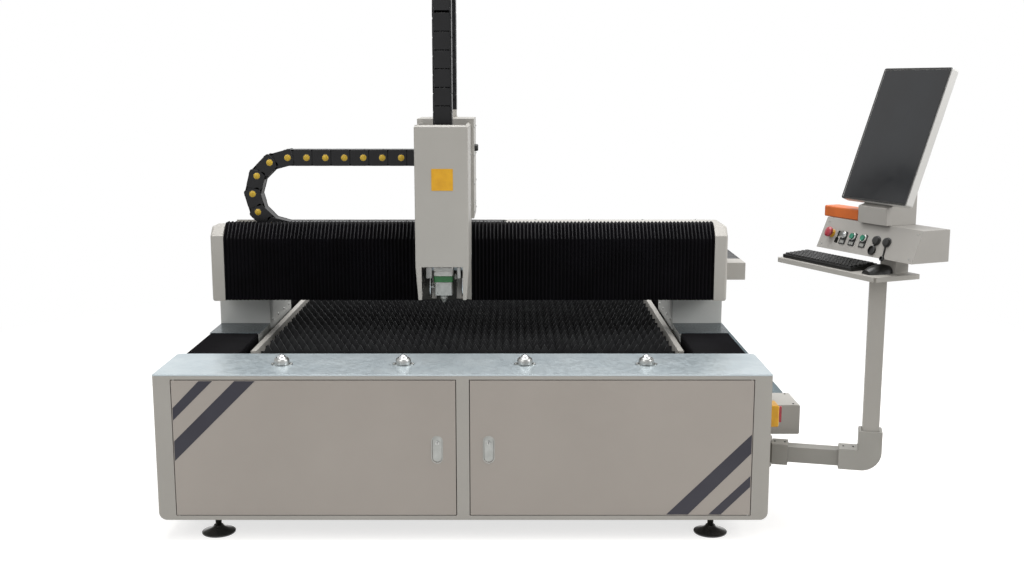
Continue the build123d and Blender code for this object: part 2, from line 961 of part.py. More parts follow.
def carriage_drives():
    """The cross drive with its pinion, and the vertical drive with its screw."""
    x, y = carriage_x, x_pinion_y()
    deck_top_z = deck_bottom + deck_thickness
    half = x_motor_size / 2
    cross = block((x - half, x + half), (y - half, y + half), (deck_top_z, deck_top_z + x_motor_height))
    cross += upright(x_shaft_radius, x, y, (beam_top + x_rack_height, deck_top_z))
    cross += upright(x_pinion_radius, x, y, (beam_top + 4, beam_top + x_rack_height))
    half = z_motor_size / 2
    front = carriage_plate_front
    motor = block(
        (x - half, x + half), (front - z_motor_size, front), (z_rail_top, z_rail_top + z_motor_height)
    )
    motor -= block((x - half - 1, x + half + 1), (front - 1, front + 1), (carriage_plate_top, z_rail_top + 200))
    motor += upright(z_screw_radius, x, z_screw_y, (z_rail_bottom, z_rail_top))
    return Compound([cross, motor])


def z_block(x, z):
    """A runner block on the slide that wraps an upright rail."""
    back = z_slide_front + z_slide_thickness
    runner = block((x - 18, x + 18), (back, carriage_plate_front - 4), (z, z + z_block_height))
    half = z_rail_width / 2 + slide_gap
    return runner - block(
        (x - half, x + half),
        (carriage_plate_front - z_rail_height - slide_gap, carriage_plate_front),
        (z - 1, z + z_block_height + 1),
    )


def z_slide():
    """The plate that carries the cutting head up and down, with its nut and four runner blocks."""
    x = carriage_x
    half = z_slide_width / 2
    back = z_slide_front + z_slide_thickness
    body = block((x - half, x + half), (z_slide_front, back), (z_slide_bottom - head_arm_thickness, z_slide_top))
    for side in (-1, 1):
        for z in (z_slide_bottom + 10, z_slide_top - z_block_height - 40):
            body += z_block(x + side * z_rail_offset, z)
    nut = block((x - 22, x + 22), (back, carriage_plate_front - 6), (z_nut_bottom, z_nut_bottom + z_nut_height))
    bore = (z_nut_bottom - 1, z_nut_bottom + z_nut_height + 1)
    body += nut - upright(z_screw_radius + running_clearance, x, z_screw_y, bore)
    half = head_width / 2
    body += block(
        (x - half, x + half), (head_y - half, z_slide_front), (z_slide_bottom - head_arm_thickness, z_slide_bottom)
    )
    for side in (-1, 1):
        edge = x + side * (half - 4)
        body += side_profile(
            [(head_y, z_slide_bottom), (z_slide_front, z_slide_bottom), (z_slide_front, z_slide_bottom + 130)],
            (edge - 4, edge + 4),
        )
    half = chain_width / 2
    chain_front = z_chain_front_y - chain_height / 2
    shelf = (z_slide_top - head_arm_thickness, z_slide_top)
    return body + block((x - half, x + half), (chain_front, z_slide_front), shelf)


def head_block():
    """The white mounting block on top of the cutting head."""
    top = z_slide_bottom - head_arm_thickness
    return head_slab(top - head_block_height, top, 0)


def head_slab(low, high, taper):
    """A square slab of the cutting head with rounded upright edges."""
    half = head_width / 2 - taper
    slab = block((carriage_x - half, carriage_x + half), (head_y - half, head_y + half), (low, high))
    return fillet(slab.edges().filter_by(Axis.Z), 6)


def head_ring():
    """The green band below the block."""
    top = z_slide_bottom - head_arm_thickness - head_block_height
    return head_slab(top - head_ring_height, top, -0.5)


def head_body_bottom():
    """The level where the nozzle starts."""
    return z_slide_bottom - head_arm_thickness - head_block_height - head_ring_height - head_body_height


def head_body():
    """The grey body of the cutting head."""
    low = head_body_bottom()
    return head_slab(low, low + head_body_height, head_body_taper)


def nozzle():
    """The cone with the beam's outlet at its tip."""
    top = head_body_bottom()
    outline = Polyline(
        (nozzle_bore_radius, top),
        (nozzle_radius, top),
        (nozzle_radius, top - nozzle_height * 0.35),
        (nozzle_tip_radius, top - nozzle_height),
        (nozzle_bore_radius, top - nozzle_height),
        close=True,
    )
    return Pos(carriage_x, head_y, 0) * revolve(make_face(Plane.XZ * outline), Axis.Z)


def cover_outline(inset, low, high):
    """The head cover's front outline, which narrows towards its lower end."""
    left, right = carriage_left + inset, carriage_right - inset
    return [
        (left, high),
        (right, high),
        (right, cover_face_bottom),
        (right - cover_taper, low),
        (left + cover_taper, low),
        (left, cover_face_bottom),
    ]


def head_cover():
    """The sheet cover of the head: a channel open at its back, top and bottom, with two cheeks."""
    y = (cover_front, carriage_plate_front)
    low, high = cover_cheek_bottom, cover_top
    body = front_profile(cover_outline(0, low, high), y)
    front_edges = body.edges().filter_by(Axis.Z).group_by(Axis.Y)[0]
    body = fillet(front_edges, 5)
    lip_top = high + 1
    hollow = cover_outline(cover_wall, low - 1, high - cover_lip)
    body -= front_profile(hollow, (y[0] + cover_wall, y[1] + 1))
    body -= block(
        (carriage_left + cover_lip, carriage_right - cover_lip),
        (y[0] + cover_lip, y[1] + 1),
        (high - cover_lip - 1, lip_top),
    )
    body -= block(
        (carriage_left + cover_cheek_width, carriage_right - cover_cheek_width),
        (y[0] - 1, y[0] + cover_wall + 5),
        (low - 1, cover_face_bottom),
    )
    return body


def chain_run(axis, start, end, centre):
    """A straight run of a drag chain between two places along an axis, as links with open gaps between
    their side plates. centre gives the run's middle on the other two axes, in X, Y, Z order."""
    count = max(1, round(abs(end - start) / chain_pitch))
    pitch = (end - start) / count
    half_w, half_h = chain_width / 2, chain_height / 2
    neck = half_h - 6
    across = []
    for i in range(count):
        a = start + i * pitch
        b = a + pitch
        gap = math.copysign(chain_link_gap, pitch)
        across.append((min(a, b - gap), max(a, b - gap), half_h))
        across.append((min(b - gap, b), max(b - gap, b), neck))
    solid = None
    for low, high, half in across:
        if axis == "x":
            piece = block((low, high), (centre[0] - half_w, centre[0] + half_w), (centre[1] - half, centre[1] + half))
        elif axis == "y":
            piece = block((centre[0] - half_w, centre[0] + half_w), (low, high), (centre[1] - half, centre[1] + half))
        else:
            piece = block((centre[0] - half_w, centre[0] + half_w), (centre[1] - half, centre[1] + half), (low, high))
        solid = piece if solid is None else solid + piece
    return solid


def chain_bend(radius):
    """Half a turn of a drag chain about the origin in the XZ plane, open towards +X, as straight links."""
    count = round(math.pi * radius / chain_pitch)
    half_h = chain_height / 2
    outer = [(0, radius + half_h)]
    inner = [(0, radius - half_h)]
    for i in range(1, count + 1):
        turn = math.pi * i / count
        outer.append((-(radius + half_h) * math.sin(turn), (radius + half_h) * math.cos(turn)))
        inner.append((-(radius - half_h) * math.sin(turn), (radius - half_h) * math.cos(turn)))
    return front_profile(outer + inner[::-1], (-chain_width / 2, chain_width / 2))


def x_chain_lower_z():
    """The middle height of the cross chain's lower run, in its tray."""
    return beam_top + tray_sheet + mesh_gap + chain_height / 2


def x_chain_upper_z():
    """The middle height of the cross chain's upper run."""
    return x_chain_lower_z() + 2 * x_chain_radius


def x_chain():
    """The three stretches of the cross chain: upper run, bend and lower run."""
    upper = chain_run(
        "x", x_chain_bend_x, carriage_left - housing_side, (x_chain_y, x_chain_upper_z())
    )
    bend = Pos(x_chain_bend_x, x_chain_y, x_chain_lower_z() + x_chain_radius) * chain_bend(x_chain_radius)
    lower = chain_run("x", x_chain_bend_x, x_chain_fixed_x, (x_chain_y, x_chain_lower_z()))
    return upper, bend, lower


def y_chain_x():
    """The middle of the long chain, clear of the bed's side."""
    return chain_arm_outer - chain_width / 2


def y_chain_lower_z():
    """The middle height of the long chain's lower run, on the side tray."""
    return side_tray_bottom + side_tray_sheet + mesh_gap + chain_height / 2


def y_chain_upper_z():
    """The middle height of the long chain's upper run."""
    return y_chain_lower_z() + 2 * y_chain_radius


def y_chain():
    """The three stretches of the long chain, whose bend opens towards the front."""
    upper = chain_run("y", chain_arm_back, y_chain_bend_y, (y_chain_x(), y_chain_upper_z()))
    bend = Rot(0, 0, -90) * chain_bend(y_chain_radius)
    bend = Pos(y_chain_x(), y_chain_bend_y, y_chain_lower_z() + y_chain_radius) * bend
    lower = chain_run("y", y_chain_fixed_y, y_chain_bend_y, (y_chain_x(), y_chain_lower_z()))
    return upper, bend, lower


def z_chain():
    """The vertical chain: its moving run, and its bend with the fixed run behind."""
    x = carriage_x
    front = chain_run("z", z_slide_top, z_chain_bend_z, (x, z_chain_front_y))
    bend = Rot(0, 0, -90) * Rot(0, 90, 0) * chain_bend(z_chain_radius)
    bend = Pos(x, z_chain_front_y + z_chain_radius, z_chain_bend_z) * bend
    rear = chain_run("z", housing_top + 6, z_chain_bend_z, (x, z_chain_rear_y()))
    rear -= block(
        (x - 41, x + 41),
        (z_chain_rear_y() - chain_height / 2 - 1, z_chain_rear_y() - chain_height / 2 + 4),
        (housing_top, housing_top + 35),
    )
    return front, rear + bend


def pendant_arm():
    """The collar that turns on the bed's pin, with the square tube that it holds."""
    z = (arm_centre_z - collar_size / 2, arm_centre_z + collar_size / 2)
    half = tube_size / 2
    body = block((lug_radius, collar_length), (-collar_size / 2, collar_size / 2), z)
    body += block((0, lug_radius), (-lug_radius, lug_radius), z)
    body += upright(lug_radius, 0, 0, z)
    tube = block(
        (lug_radius, elbow_start + tube_insert), (-half, half), (arm_centre_z - half, arm_centre_z + half)
    )
    body += tube
    inner = half - tube_wall
    body -= block(
        (lug_radius + 5, elbow_start + tube_insert + 1),
        (-inner, inner),
        (arm_centre_z - inner, arm_centre_z + inner),
    )
    body -= upright(arm_pin_radius + running_clearance, 0, 0, (z[0] - 1, z[1] + 1))
    return arm_place * body


def arm_elbow():
    """The cast elbow between the tube and the post."""
    low = arm_centre_z - collar_size / 2
    high = arm_centre_z + collar_size / 2
    inner_x = arm_reach - elbow_width / 2
    outer_x = arm_reach + elbow_width / 2
    outline = [
        (elbow_start, low),
        (outer_x, low),
        (outer_x, elbow_top),
        (inner_x, elbow_top),
        (inner_x, high),
        (elbow_start, high),
    ]
    body = front_profile(outline, (-collar_size / 2, collar_size / 2))
    corner = body.edges().filter_by(Axis.Y).filter_by_position(Axis.X, outer_x - 1, outer_x + 1).group_by(Axis.Z)[0]
    body = fillet(corner, elbow_radius)
    half = tube_size / 2
    body -= block(
        (elbow_start - 1, elbow_start + tube_insert), (-half, half), (arm_centre_z - half, arm_centre_z + half)
    )
    body -= block(
        (arm_reach - half, arm_reach + half), (-half, half), (elbow_top - tube_insert, elbow_top + 1)
    )
    return arm_place * body


def post():
    """The upright square tube with its cap and the spigot that the console turns on."""
    half = tube_size / 2
    inner = half - tube_wall
    body = block((arm_reach - half, arm_reach + half), (-half, half), (elbow_top - tube_insert, post_top))
    body -= block(
        (arm_reach - inner, arm_reach + inner), (-inner, inner), (elbow_top - tube_insert - 1, post_top - 5)
    )
    body += upright(swivel_radius, arm_reach, 0, (post_top, post_top + post_cap))
    body += upright(spigot_radius, arm_reach, 0, (post_top, post_top + post_cap + spigot_height))
    return arm_place * body


def console_tray():
    """The keyboard tray with its swivel boss below and the riser up to the console."""
    x, y = (tray_left, tray_right), (tray_near, tray_far)
    wall = tray_wall
    body = block(x, y, (tray_top - tray_lip, tray_top))
    body = fillet(body.edges().filter_by(Axis.Z).group_by(Axis.Y)[0], 15)
    body -= block(
        (x[0] + wall, x[1] - wall), (y[0] + wall, y[1] - wall), (tray_top - tray_lip - 1, tray_top - wall)
    )
    low = post_top + post_cap + swivel_gap
    body += upright(swivel_radius, 0, 0, (low, tray_top - wall))
    body -= upright(spigot_radius + running_clearance, 0, 0, (low - 1, low + spigot_height + 1))
    right, half = riser_left + riser_width, riser_depth / 2
    riser = block((riser_left, right), (-half, half), (tray_top, console_bottom))
    riser -= block(
        (riser_left + wall, right - wall), (-half + wall, half - wall), (tray_top + wall, console_bottom + 1)
    )
    return console_place * (body + riser)


def panel_plane():
    """The console's sloped face, with its origin at the lower edge's middle and Z outwards."""
    length = math.hypot(console_slope, console_height)
    return Plane(
        origin=(0, console_front, console_bottom),
        x_dir=(1, 0, 0),
        z_dir=(0, -console_height / length, console_slope / length),
    )


def on_panel(shape, x):
    """A shape moved from the origin to its place on the sloped face."""
    return panel_plane().location * (Pos(x, control_row, 0) * shape)


def disc(radius, low, high):
    """A round piece that stands on the sloped face between two distances from it."""
    return Pos(0, 0, low) * Cylinder(radius, high - low, align=(Align.CENTER, Align.CENTER, Align.MIN))


def console_box():
    """The sheet box with a sloped front that holds the controls."""
    outline = [
        (console_front, console_bottom),
        (console_back, console_bottom),
        (console_back, console_top),
        (console_front + console_slope, console_top),
    ]
    wall = console_wall
    half = console_half_length
    body = side_profile(outline, (-half, half))
    inner = [
        (console_front + 2 * wall, console_bottom + wall),
        (console_back - wall, console_bottom + wall),
        (console_back - wall, console_top - wall),
        (console_front + console_slope + wall, console_top - wall),
    ]
    body -= side_profile(inner, (-half + wall, half - wall))
    body -= upright(15, 0, 0, (console_bottom - 1, console_bottom + wall + 1))
    body -= on_panel(disc(e_stop_stem_radius + 1, -wall - 6, 1), e_stop_x)
    for x in (start_x, stop_x):
        body -= on_panel(disc(button_radius + 1, -wall - 6, 1), x)
    body -= on_panel(disc(key_bore_radius(), -wall - 6, 1), key_x)
    return console_place * body


def key_bore_radius():
    """The hole of the key switch in the panel."""
    return key_bezel_radius - 5


def console_fittings():
    """The fixed collars of the controls, and the two round sockets with their caps."""
    ring = disc(e_stop_collar_radius, 0, e_stop_collar_height)
    ring -= disc(e_stop_stem_radius + running_clearance * 4, -1, e_stop_collar_height + 1)
    pieces = [on_panel(ring, e_stop_x)]
    for x in (start_x, stop_x):
        bezel = disc(button_bezel_radius, 0, button_bezel_height)
        bezel -= disc(button_radius + running_clearance * 4, -1, button_bezel_height + 1)
        pieces.append(on_panel(bezel, x))
    bezel = disc(key_bezel_radius, 0, key_bezel_height)
    bezel -= disc(key_stem_radius() + running_clearance * 4, -1, key_bezel_height + 1)
    pieces.append(on_panel(bezel, key_x))
    for x in (socket_a_x, socket_b_x):
        socket = disc(socket_radius + 3, 0, 3) + disc(socket_radius, 0, socket_height)
        socket -= disc(socket_radius - 3, 4, socket_height + 1)
        pieces.append(on_panel(socket, x))
    return console_place * Compound(pieces)


def key_stem_radius():
    """The turning core of the key switch."""
    return key_bezel_radius - 6


def e_stop_button():
    """The red mushroom button on its stem."""
    low = e_stop_collar_height + 6
    cap = disc(e_stop_radius, low, low + e_stop_height)
    cap = chamfer(cap.edges().group_by(Axis.Z)[-1], 4)
    return console_place * on_panel(cap + disc(e_stop_stem_radius, -console_wall - 2, low), e_stop_x)


def push_button(x):
    """A round push button that stands proud of its bezel."""
    cap = disc(button_radius, -console_wall - 1, button_bezel_height + button_height)
    cap = chamfer(cap.edges().group_by(Axis.Z)[-1], 2)
    return console_place * on_panel(cap, x)


def key():
    """The key in its turning core."""
    core = disc(key_stem_radius(), -console_wall, key_bezel_height)
    blade = Pos(0, 0, key_bezel_height + key_length / 2) * Box(key_thickness, key_width, key_length)
    blade = fillet(blade.edges().filter_by(Axis.X).group_by(Axis.Z)[-1], 7)
    return console_place * on_panel(core + blade, key_x)


def monitor_place():
    """The monitor's lower front edge, tilted back."""
    return console_place * Location((monitor_x, monitor_y, monitor_z), (-monitor_tilt, 0, 0))


def monitor():
    """The monitor's housing, with a recess for the screen."""
    half = monitor_width / 2
    body = block((-half, half), (0, monitor_thickness), (0, monitor_height))
    body = fillet(body.edges().filter_by(Axis.Y), 8)
    body -= block(
        (-half + monitor_bezel, half - monitor_bezel),
        (-1, monitor_recess),
        (monitor_bezel, monitor_height - monitor_bezel),
    )
    return monitor_place() * body


def screen():
    """The dark glass panel in the monitor's recess."""
    half = monitor_width / 2 - monitor_bezel - mesh_gap
    low = monitor_bezel + mesh_gap
    glass = block(
        (-half, half),
        (monitor_recess - screen_thickness, monitor_recess),
        (low, monitor_height - monitor_bezel - mesh_gap),
    )
    return monitor_place() * glass


def monitor_back(rise):
    """A point on the monitor's back plane, as (y, z) in the console's frame."""
    tilt = math.radians(monitor_tilt)
    y = monitor_y + monitor_thickness * math.cos(tilt) + rise * math.sin(tilt)
    z = monitor_z - monitor_thickness * math.sin(tilt) + rise * math.cos(tilt)
    return y, z


def stand_outline(inset):
    """The side outline of the monitor's stand, whose sloped edge lies on the monitor's back."""
    low_y, low_z = monitor_back(0)
    high_y, high_z = monitor_back(stand_rise + 20)
    return [
        (stand_front + inset, console_top - inset / 2),
        (console_back - inset, console_top - inset / 2),
        (console_back - inset, high_z - inset),
        (high_y + inset, high_z - inset),
        (low_y + 1.2 * inset, low_z - inset / 2),
        (stand_front + inset, low_z - 8 - inset),
    ]


def monitor_stand():
    """The folded stand on the console that carries the monitor."""
    x = (monitor_x - stand_half_width, monitor_x + stand_half_width)
    body = side_profile(stand_outline(0), x)
    body -= side_profile(stand_outline(stand_wall), (x[0] + stand_wall, x[1] - stand_wall))
    return console_place * body


def keyboard():
    """The keyboard on the tray, thicker at its far edge."""
    x = (tray_left + 16, tray_left + 16 + keyboard_length)
    near, far = tray_near + 18, tray_near + 18 + keyboard_depth
    outline = [
        (near, tray_top),
        (far, tray_top),
        (far, tray_top + keyboard_height + 8),
        (near, tray_top + keyboard_height),
    ]
    return console_place * side_profile(outline, x)


def mouse():
    """The mouse on the tray, right of the keyboard."""
    body = Box(mouse_width, mouse_length, mouse_height, align=(Align.CENTER, Align.CENTER, Align.MIN))
    body = chamfer(body.edges().filter_by(Axis.Z), 16)
    body = chamfer(body.edges().group_by(Axis.Z)[-1], 10)
    return console_place * (Pos(tray_right - 75, tray_near + 75, tray_top) * body)


def hand_remote():
    """The orange hand control that lies on the console's top."""
    x = (-console_half_length - 30, -console_half_length - 30 + remote_length)
    body = block(x, (-30, -30 + remote_depth), (console_top, console_top + remote_height))
    return console_place * fillet(body.edges().filter_by(Axis.X), 6)


def build():
    """Every node by its name."""
    nodes = {
        "bed_frame": bed_frame(),
        "front_plate": front_plate(),
        "levelling_feet": levelling_feet(),
        "ball_transfer_units": ball_transfer_units(),
        "slats": slats(),
        "slat_racks": slat_racks(),
        "slag_tray": slag_tray(),
        "y_guides": y_guides(),
        "door_pins": door_pins(),
        "side_box": side_box(),
        "isolator_plate": isolator_plate(),
        "isolator_handle": isolator_handle(),
        "y_chain_tray": y_chain_tray(),
    }
    right_door, right_latch = door(), latch()
    nodes["door_right"], nodes["door_left"] = right_door, mirrored(right_door)
    nodes["latch_right"], nodes["latch_left"] = right_latch, mirrored(right_latch)
    foot, drive = gantry_foot(), y_gearmotor()
    nodes["gantry_foot_left"] = mirrored(foot)
    nodes["gantry_foot_right"] = foot + chain_arm()
    nodes["y_gearmotors"] = pair(drive)
    nodes["saddle_covers"] = saddle_covers()
    nodes["beam"] = beam()
    nodes["beam_end_caps"] = end_caps()
    nodes["x_guides"] = x_guides()
    nodes["x_bellows_left"] = x_bellows(-beam_half_length, carriage_left)
    nodes["x_bellows_right"] = x_bellows(carriage_right, beam_half_length)
    nodes["y_bellows_front"] = pair(y_bellows_top(cabinet_depth, saddle_front))
    nodes["y_bellows_rear"] = pair(y_bellows_top(saddle_back, bed_length - end_plate_thickness))
    nodes["x_chain_upper"], nodes["x_chain_bend"], nodes["x_chain_lower"] = x_chain()
    nodes["y_chain_upper"], nodes["y_chain_bend"], nodes["y_chain_lower"] = y_chain()
    nodes["z_chain_front"], nodes["z_chain_rear"] = z_chain()
    nodes["carriage"] = carriage()
    nodes["carriage_drives"] = carriage_drives()
    nodes["head_cover"] = head_cover()
    nodes["z_slide"] = z_slide()
    nodes["head_block"] = head_block()
    nodes["head_ring"] = head_ring()
    nodes["head_body"] = head_body()
    nodes["nozzle"] = nozzle()
    nodes["pendant_arm"] = pendant_arm()
    nodes["arm_elbow"] = arm_elbow()
    nodes["post"] = post()
    nodes["console_tray"] = console_tray()
    nodes["console_box"] = console_box()
    nodes["console_fittings"] = console_fittings()
    nodes["e_stop_button"] = e_stop_button()
    nodes["start_button"] = push_button(start_x)
    nodes["stop_button"] = push_button(stop_x)
    nodes["key"] = key()
    nodes["monitor_stand"] = monitor_stand()
    nodes["monitor"] = monitor()
    nodes["screen"] = screen()
    nodes["keyboard"] = keyboard()
    nodes["mouse"] = mouse()
    nodes["hand_remote"] = hand_remote()
    return nodes


def footprint_shift(nodes):
    """The move that puts the origin at the middle of the machine's footprint, on the floor."""
    boxes = [shape.bounding_box() for shape in nodes.values()]
    low_x, high_x = min(b.min.X for b in boxes), max(b.max.X for b in boxes)
    low_y, high_y = min(b.min.Y for b in boxes), max(b.max.Y for b in boxes)
    return Pos(-(low_x + high_x) / 2, -(low_y + high_y) / 2, -min(b.min.Z for b in boxes))


nodes = build()
shift = footprint_shift(nodes)
os.makedirs("parts", exist_ok=True)
for name, shape in nodes.items():
    export_step(shift * shape, f"parts/{name}.step")
print(len(nodes), "nodes, moved by", tuple(round(v, 3) for v in shift.position))
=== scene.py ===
import logging
import math
from dataclasses import dataclass, field
from enum import Enum

import bmesh
import bpy
from mathutils import Matrix, Vector
from mathutils.geometry import tessellate_polygon


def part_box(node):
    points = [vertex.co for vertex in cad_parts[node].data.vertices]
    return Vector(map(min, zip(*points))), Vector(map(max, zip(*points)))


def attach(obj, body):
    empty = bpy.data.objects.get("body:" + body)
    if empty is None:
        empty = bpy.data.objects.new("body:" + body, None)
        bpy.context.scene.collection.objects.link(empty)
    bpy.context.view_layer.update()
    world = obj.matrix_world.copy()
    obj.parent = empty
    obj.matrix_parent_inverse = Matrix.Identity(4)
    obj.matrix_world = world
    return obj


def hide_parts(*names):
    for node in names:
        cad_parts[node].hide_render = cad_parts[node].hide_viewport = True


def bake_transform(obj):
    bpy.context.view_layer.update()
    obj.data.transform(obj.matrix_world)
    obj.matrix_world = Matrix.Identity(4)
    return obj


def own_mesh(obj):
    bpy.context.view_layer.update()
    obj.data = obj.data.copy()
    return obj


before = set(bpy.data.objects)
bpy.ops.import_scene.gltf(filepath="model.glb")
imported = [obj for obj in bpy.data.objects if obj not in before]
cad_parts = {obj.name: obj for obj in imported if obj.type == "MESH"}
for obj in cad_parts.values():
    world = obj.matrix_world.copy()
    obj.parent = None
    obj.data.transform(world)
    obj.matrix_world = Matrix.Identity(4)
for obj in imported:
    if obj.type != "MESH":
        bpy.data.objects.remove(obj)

"""The looks of a laser cutting machine with an open bed. Sizes are in millimetres, +X to the right, +Y to
the back, +Z up, laid out from the middle of the bed's front face at floor level. Every finished mesh is
turned into metres in the frame's own place."""

log = logging.getLogger("machine")

BED_HALF_WIDTH = 1150.0
BED_BOTTOM = 83.0
LOW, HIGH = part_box("bed_frame")
START = Vector((LOW.x + BED_HALF_WIDTH / 1000, LOW.y, LOW.z - BED_BOTTOM / 1000))
TO_FRAME = Matrix.Translation(START) @ Matrix.Scale(0.001, 4)


class Axis(Enum):
    """The direction that an outline is pulled along or turned about."""

    X = 0
    Y = 1
    Z = 2


class Relief(Enum):
    """The kind of fine relief on a surface."""

    GRAIN = "grain"
    SPANGLE = "spangle"
    BRUSHED = "brushed"
    WEAVE = "weave"


def frame_point(x: float, y: float, z: float) -> tuple[float, float, float]:
    """Turn a place in the machine, in millimetres, into a point of the frame."""
    return tuple(TO_FRAME @ Vector((x, y, z)))


def linear(code: str) -> tuple[float, float, float, float]:
    """Turn an sRGB hex colour into the linear values that a shader takes.

    Args:
        code: the colour as #rrggbb.

    Returns:
        Red, green, blue and an alpha of one.
    """
    values = []
    for i in (1, 3, 5):
        v = int(code[i : i + 2], 16) / 255
        values.append(v / 12.92 if v <= 0.04045 else ((v + 0.055) / 1.055) ** 2.4)
    return (*values, 1.0)


def add(tree: bpy.types.NodeTree, kind: str, inputs: dict | None = None, **settings: object) -> bpy.types.Node:
    """Add a node with its settings, values and links.

    Args:
        tree: the tree that takes the node.
        kind: the node's type.
        inputs: a value, or the socket to link from, by input name or number.
        **settings: the node's own properties.

    Returns:
        The new node.
    """
    node = tree.nodes.new(kind)
    for name, value in settings.items():
        setattr(node, name, value)
    for key, value in (inputs or {}).items():
        if isinstance(value, bpy.types.NodeSocket):
            tree.links.new(value, node.inputs[key])
        else:
            node.inputs[key].default_value = value
    return node


@dataclass(frozen=True)
class Finish:
    """A surface: what it is made of, how it was worked and what that gives the eye."""

    name: str
    slot: str
    colour: str
    tint: str
    patch_mm: float
    roughness: float
    metallic: float = 0.0
    relief: Relief = Relief.GRAIN
    relief_mm: float = 4.0
    depth_mm: float = 0.05
    stretch: tuple[float, float, float] = (1.0, 1.0, 1.0)
    coat: float = 0.0
    specular: float = 0.5
    # Heights between which a painted shade fades out upwards, or none.
    painted_shade: tuple[float, float] | None = None

    def material(self) -> bpy.types.Material:
        """Give the finish's material, made once."""
        found = bpy.data.materials.get(self.name)
        return found or self._make()

    def _make(self) -> bpy.types.Material:
        """Build the node tree of the finish."""
        material = bpy.data.materials.new(self.name)
        material.use_nodes = True
        tree = material.node_tree
        tree.nodes.clear()
        place = add(tree, "ShaderNodeTexCoord").outputs["Object"]
        patches = add(tree, "ShaderNodeTexNoise", {"Vector": place, "Scale": 1000 / self.patch_mm, "Detail": 4.0})
        blend = add(tree, "ShaderNodeMapRange", {"Value": patches.outputs["Fac"], "From Min": 0.35, "From Max": 0.65})
        colour = add(
            tree,
            "ShaderNodeMix",
            {0: blend.outputs["Result"], 6: linear(self.colour), 7: linear(self.tint)},
            data_type="RGBA",
        )
        # Painted shade: darker towards the foot.
        if self.painted_shade:
            colour = self._paint_shade(tree, place, colour)
        height = self._height(tree, place)
        rough = add(
            tree,
            "ShaderNodeMapRange",
            {
                "Value": height,
                "To Min": max(0.02, self.roughness - 0.05),
                "To Max": min(1.0, self.roughness + 0.06),
            },
        )
        bump = add(
            tree, "ShaderNodeBump", {"Height": height, "Strength": 0.6, "Distance": self.depth_mm / 1000}
        )
        shader = add(
            tree,
            "ShaderNodeBsdfPrincipled",
            {
                "Base Color": colour.outputs[2],
                "Metallic": self.metallic,
                "Roughness": rough.outputs["Result"],
                "Normal": bump.outputs["Normal"],
                "Coat Weight": self.coat,
                "Specular IOR Level": self.specular,
            },
        )
        add(tree, "ShaderNodeOutputMaterial", {"Surface": shader.outputs["BSDF"]})
        return material

    def _paint_shade(self, tree: bpy.types.NodeTree, place: bpy.types.NodeSocket, colour: bpy.types.Node) -> bpy.types.Node:
        """Lay painted shade over the colour below one height, that thins out up to another."""
        rise = add(tree, "ShaderNodeSeparateXYZ", {"Vector": place}).outputs["Z"]
        low, high = (frame_point(0, 0, z)[2] for z in self.painted_shade)
        share = add(tree, "ShaderNodeMapRange", {"Value": rise, "From Min": low, "From Max": high})
        return add(
            tree,
            "ShaderNodeMix",
            {0: share.outputs["Result"], 6: linear("#0a0a0a"), 7: colour.outputs[2]},
            data_type="RGBA",
        )

    def _height(self, tree: bpy.types.NodeTree, place: bpy.types.NodeSocket) -> bpy.types.NodeSocket:
        """Add the relief's own pattern and give its height."""
        scale = 1000 / self.relief_mm
        spread = add(tree, "ShaderNodeMapping", {"Vector": place, "Scale": self.stretch}).outputs["Vector"]
        if self.relief is Relief.SPANGLE:
            cells = add(tree, "ShaderNodeTexVoronoi", {"Vector": spread, "Scale": scale, "Randomness": 1.0})
            return add(tree, "ShaderNodeSeparateColor", {"Color": cells.outputs["Color"]}).outputs[0]
        if self.relief is Relief.WEAVE:
            waves = [
                add(tree, "ShaderNodeTexWave", {"Vector": spread, "Scale": scale / 6.28}, bands_direction=way)
                for way in ("DIAGONAL", "Z")
            ]
            return add(
                tree,
                "ShaderNodeMath",
                {0: waves[0].outputs["Fac"], 1: waves[1].outputs["Fac"]},
                operation="MULTIPLY",
            ).outputs[0]
        detail = 2.0 if self.relief is Relief.GRAIN else 6.0
        return add(tree, "ShaderNodeTexNoise", {"Vector": spread, "Scale": scale, "Detail": detail}).outputs["Fac"]


# Polyester powder coat on sheet steel: even grey with a fine orange peel.
POWDER = Finish("powder_coat_grey", "light_grey", "#a9a6a0", "#a4a19b", 420.0, 0.42, relief_mm=5.0)
# The same coat on the doors, a touch warmer: a painted reflection of the floor.
DOOR_POWDER_WARM_REFLECTION = Finish("powder_coat_doors_painted_reflection", "mid_grey", "#a69f98", "#a19a93", 500.0, 0.40, relief_mm=5.0)
# Wet-sprayed grey on the pendant's square tube.
TUBE_PAINT = Finish("sprayed_tube_grey", "mid_grey", "#9f9d97", "#999791", 160.0, 0.45, relief_mm=4.0)
# The feet of the gantry are sprayed a cooler grey, made lighter as painted light that lifts the shade under the beam.
FOOT_PAINT_LIT = Finish("sprayed_foot_grey_painted_light", "mid_grey", "#bdbebb", "#b7b8b5", 240.0, 0.45, relief_mm=4.0)
# The same spray on the arm, made darker as painted shade, since the arm lies in shade.
ARM_PAINT_SHADED = Finish("sprayed_arm_grey_painted_shade", "mid_grey", "#8d8b85", "#87857f", 160.0, 0.5, relief_mm=4.0)
# Fine-textured powder coat on the console's folded box.
CONSOLE_POWDER = Finish("powder_coat_console", "light_grey", "#9d9a95", "#989590", 200.0, 0.45, relief_mm=3.0)
# The monitor's own housing, paler than the rest.
MONITOR_PAINT = Finish("pale_monitor_paint", "light_grey", "#c9c8c5", "#c3c2bf", 300.0, 0.4, relief_mm=3.0)
# Hot-dip galvanised sheet: bluish grey with faint crystals about 14 mm wide.
GALVANISED = Finish(
    "galvanised_sheet", "galvanised", "#bfc9cd", "#b3bec3", 120.0, 0.36, 0.6, Relief.SPANGLE, 14.0, 0.006
)
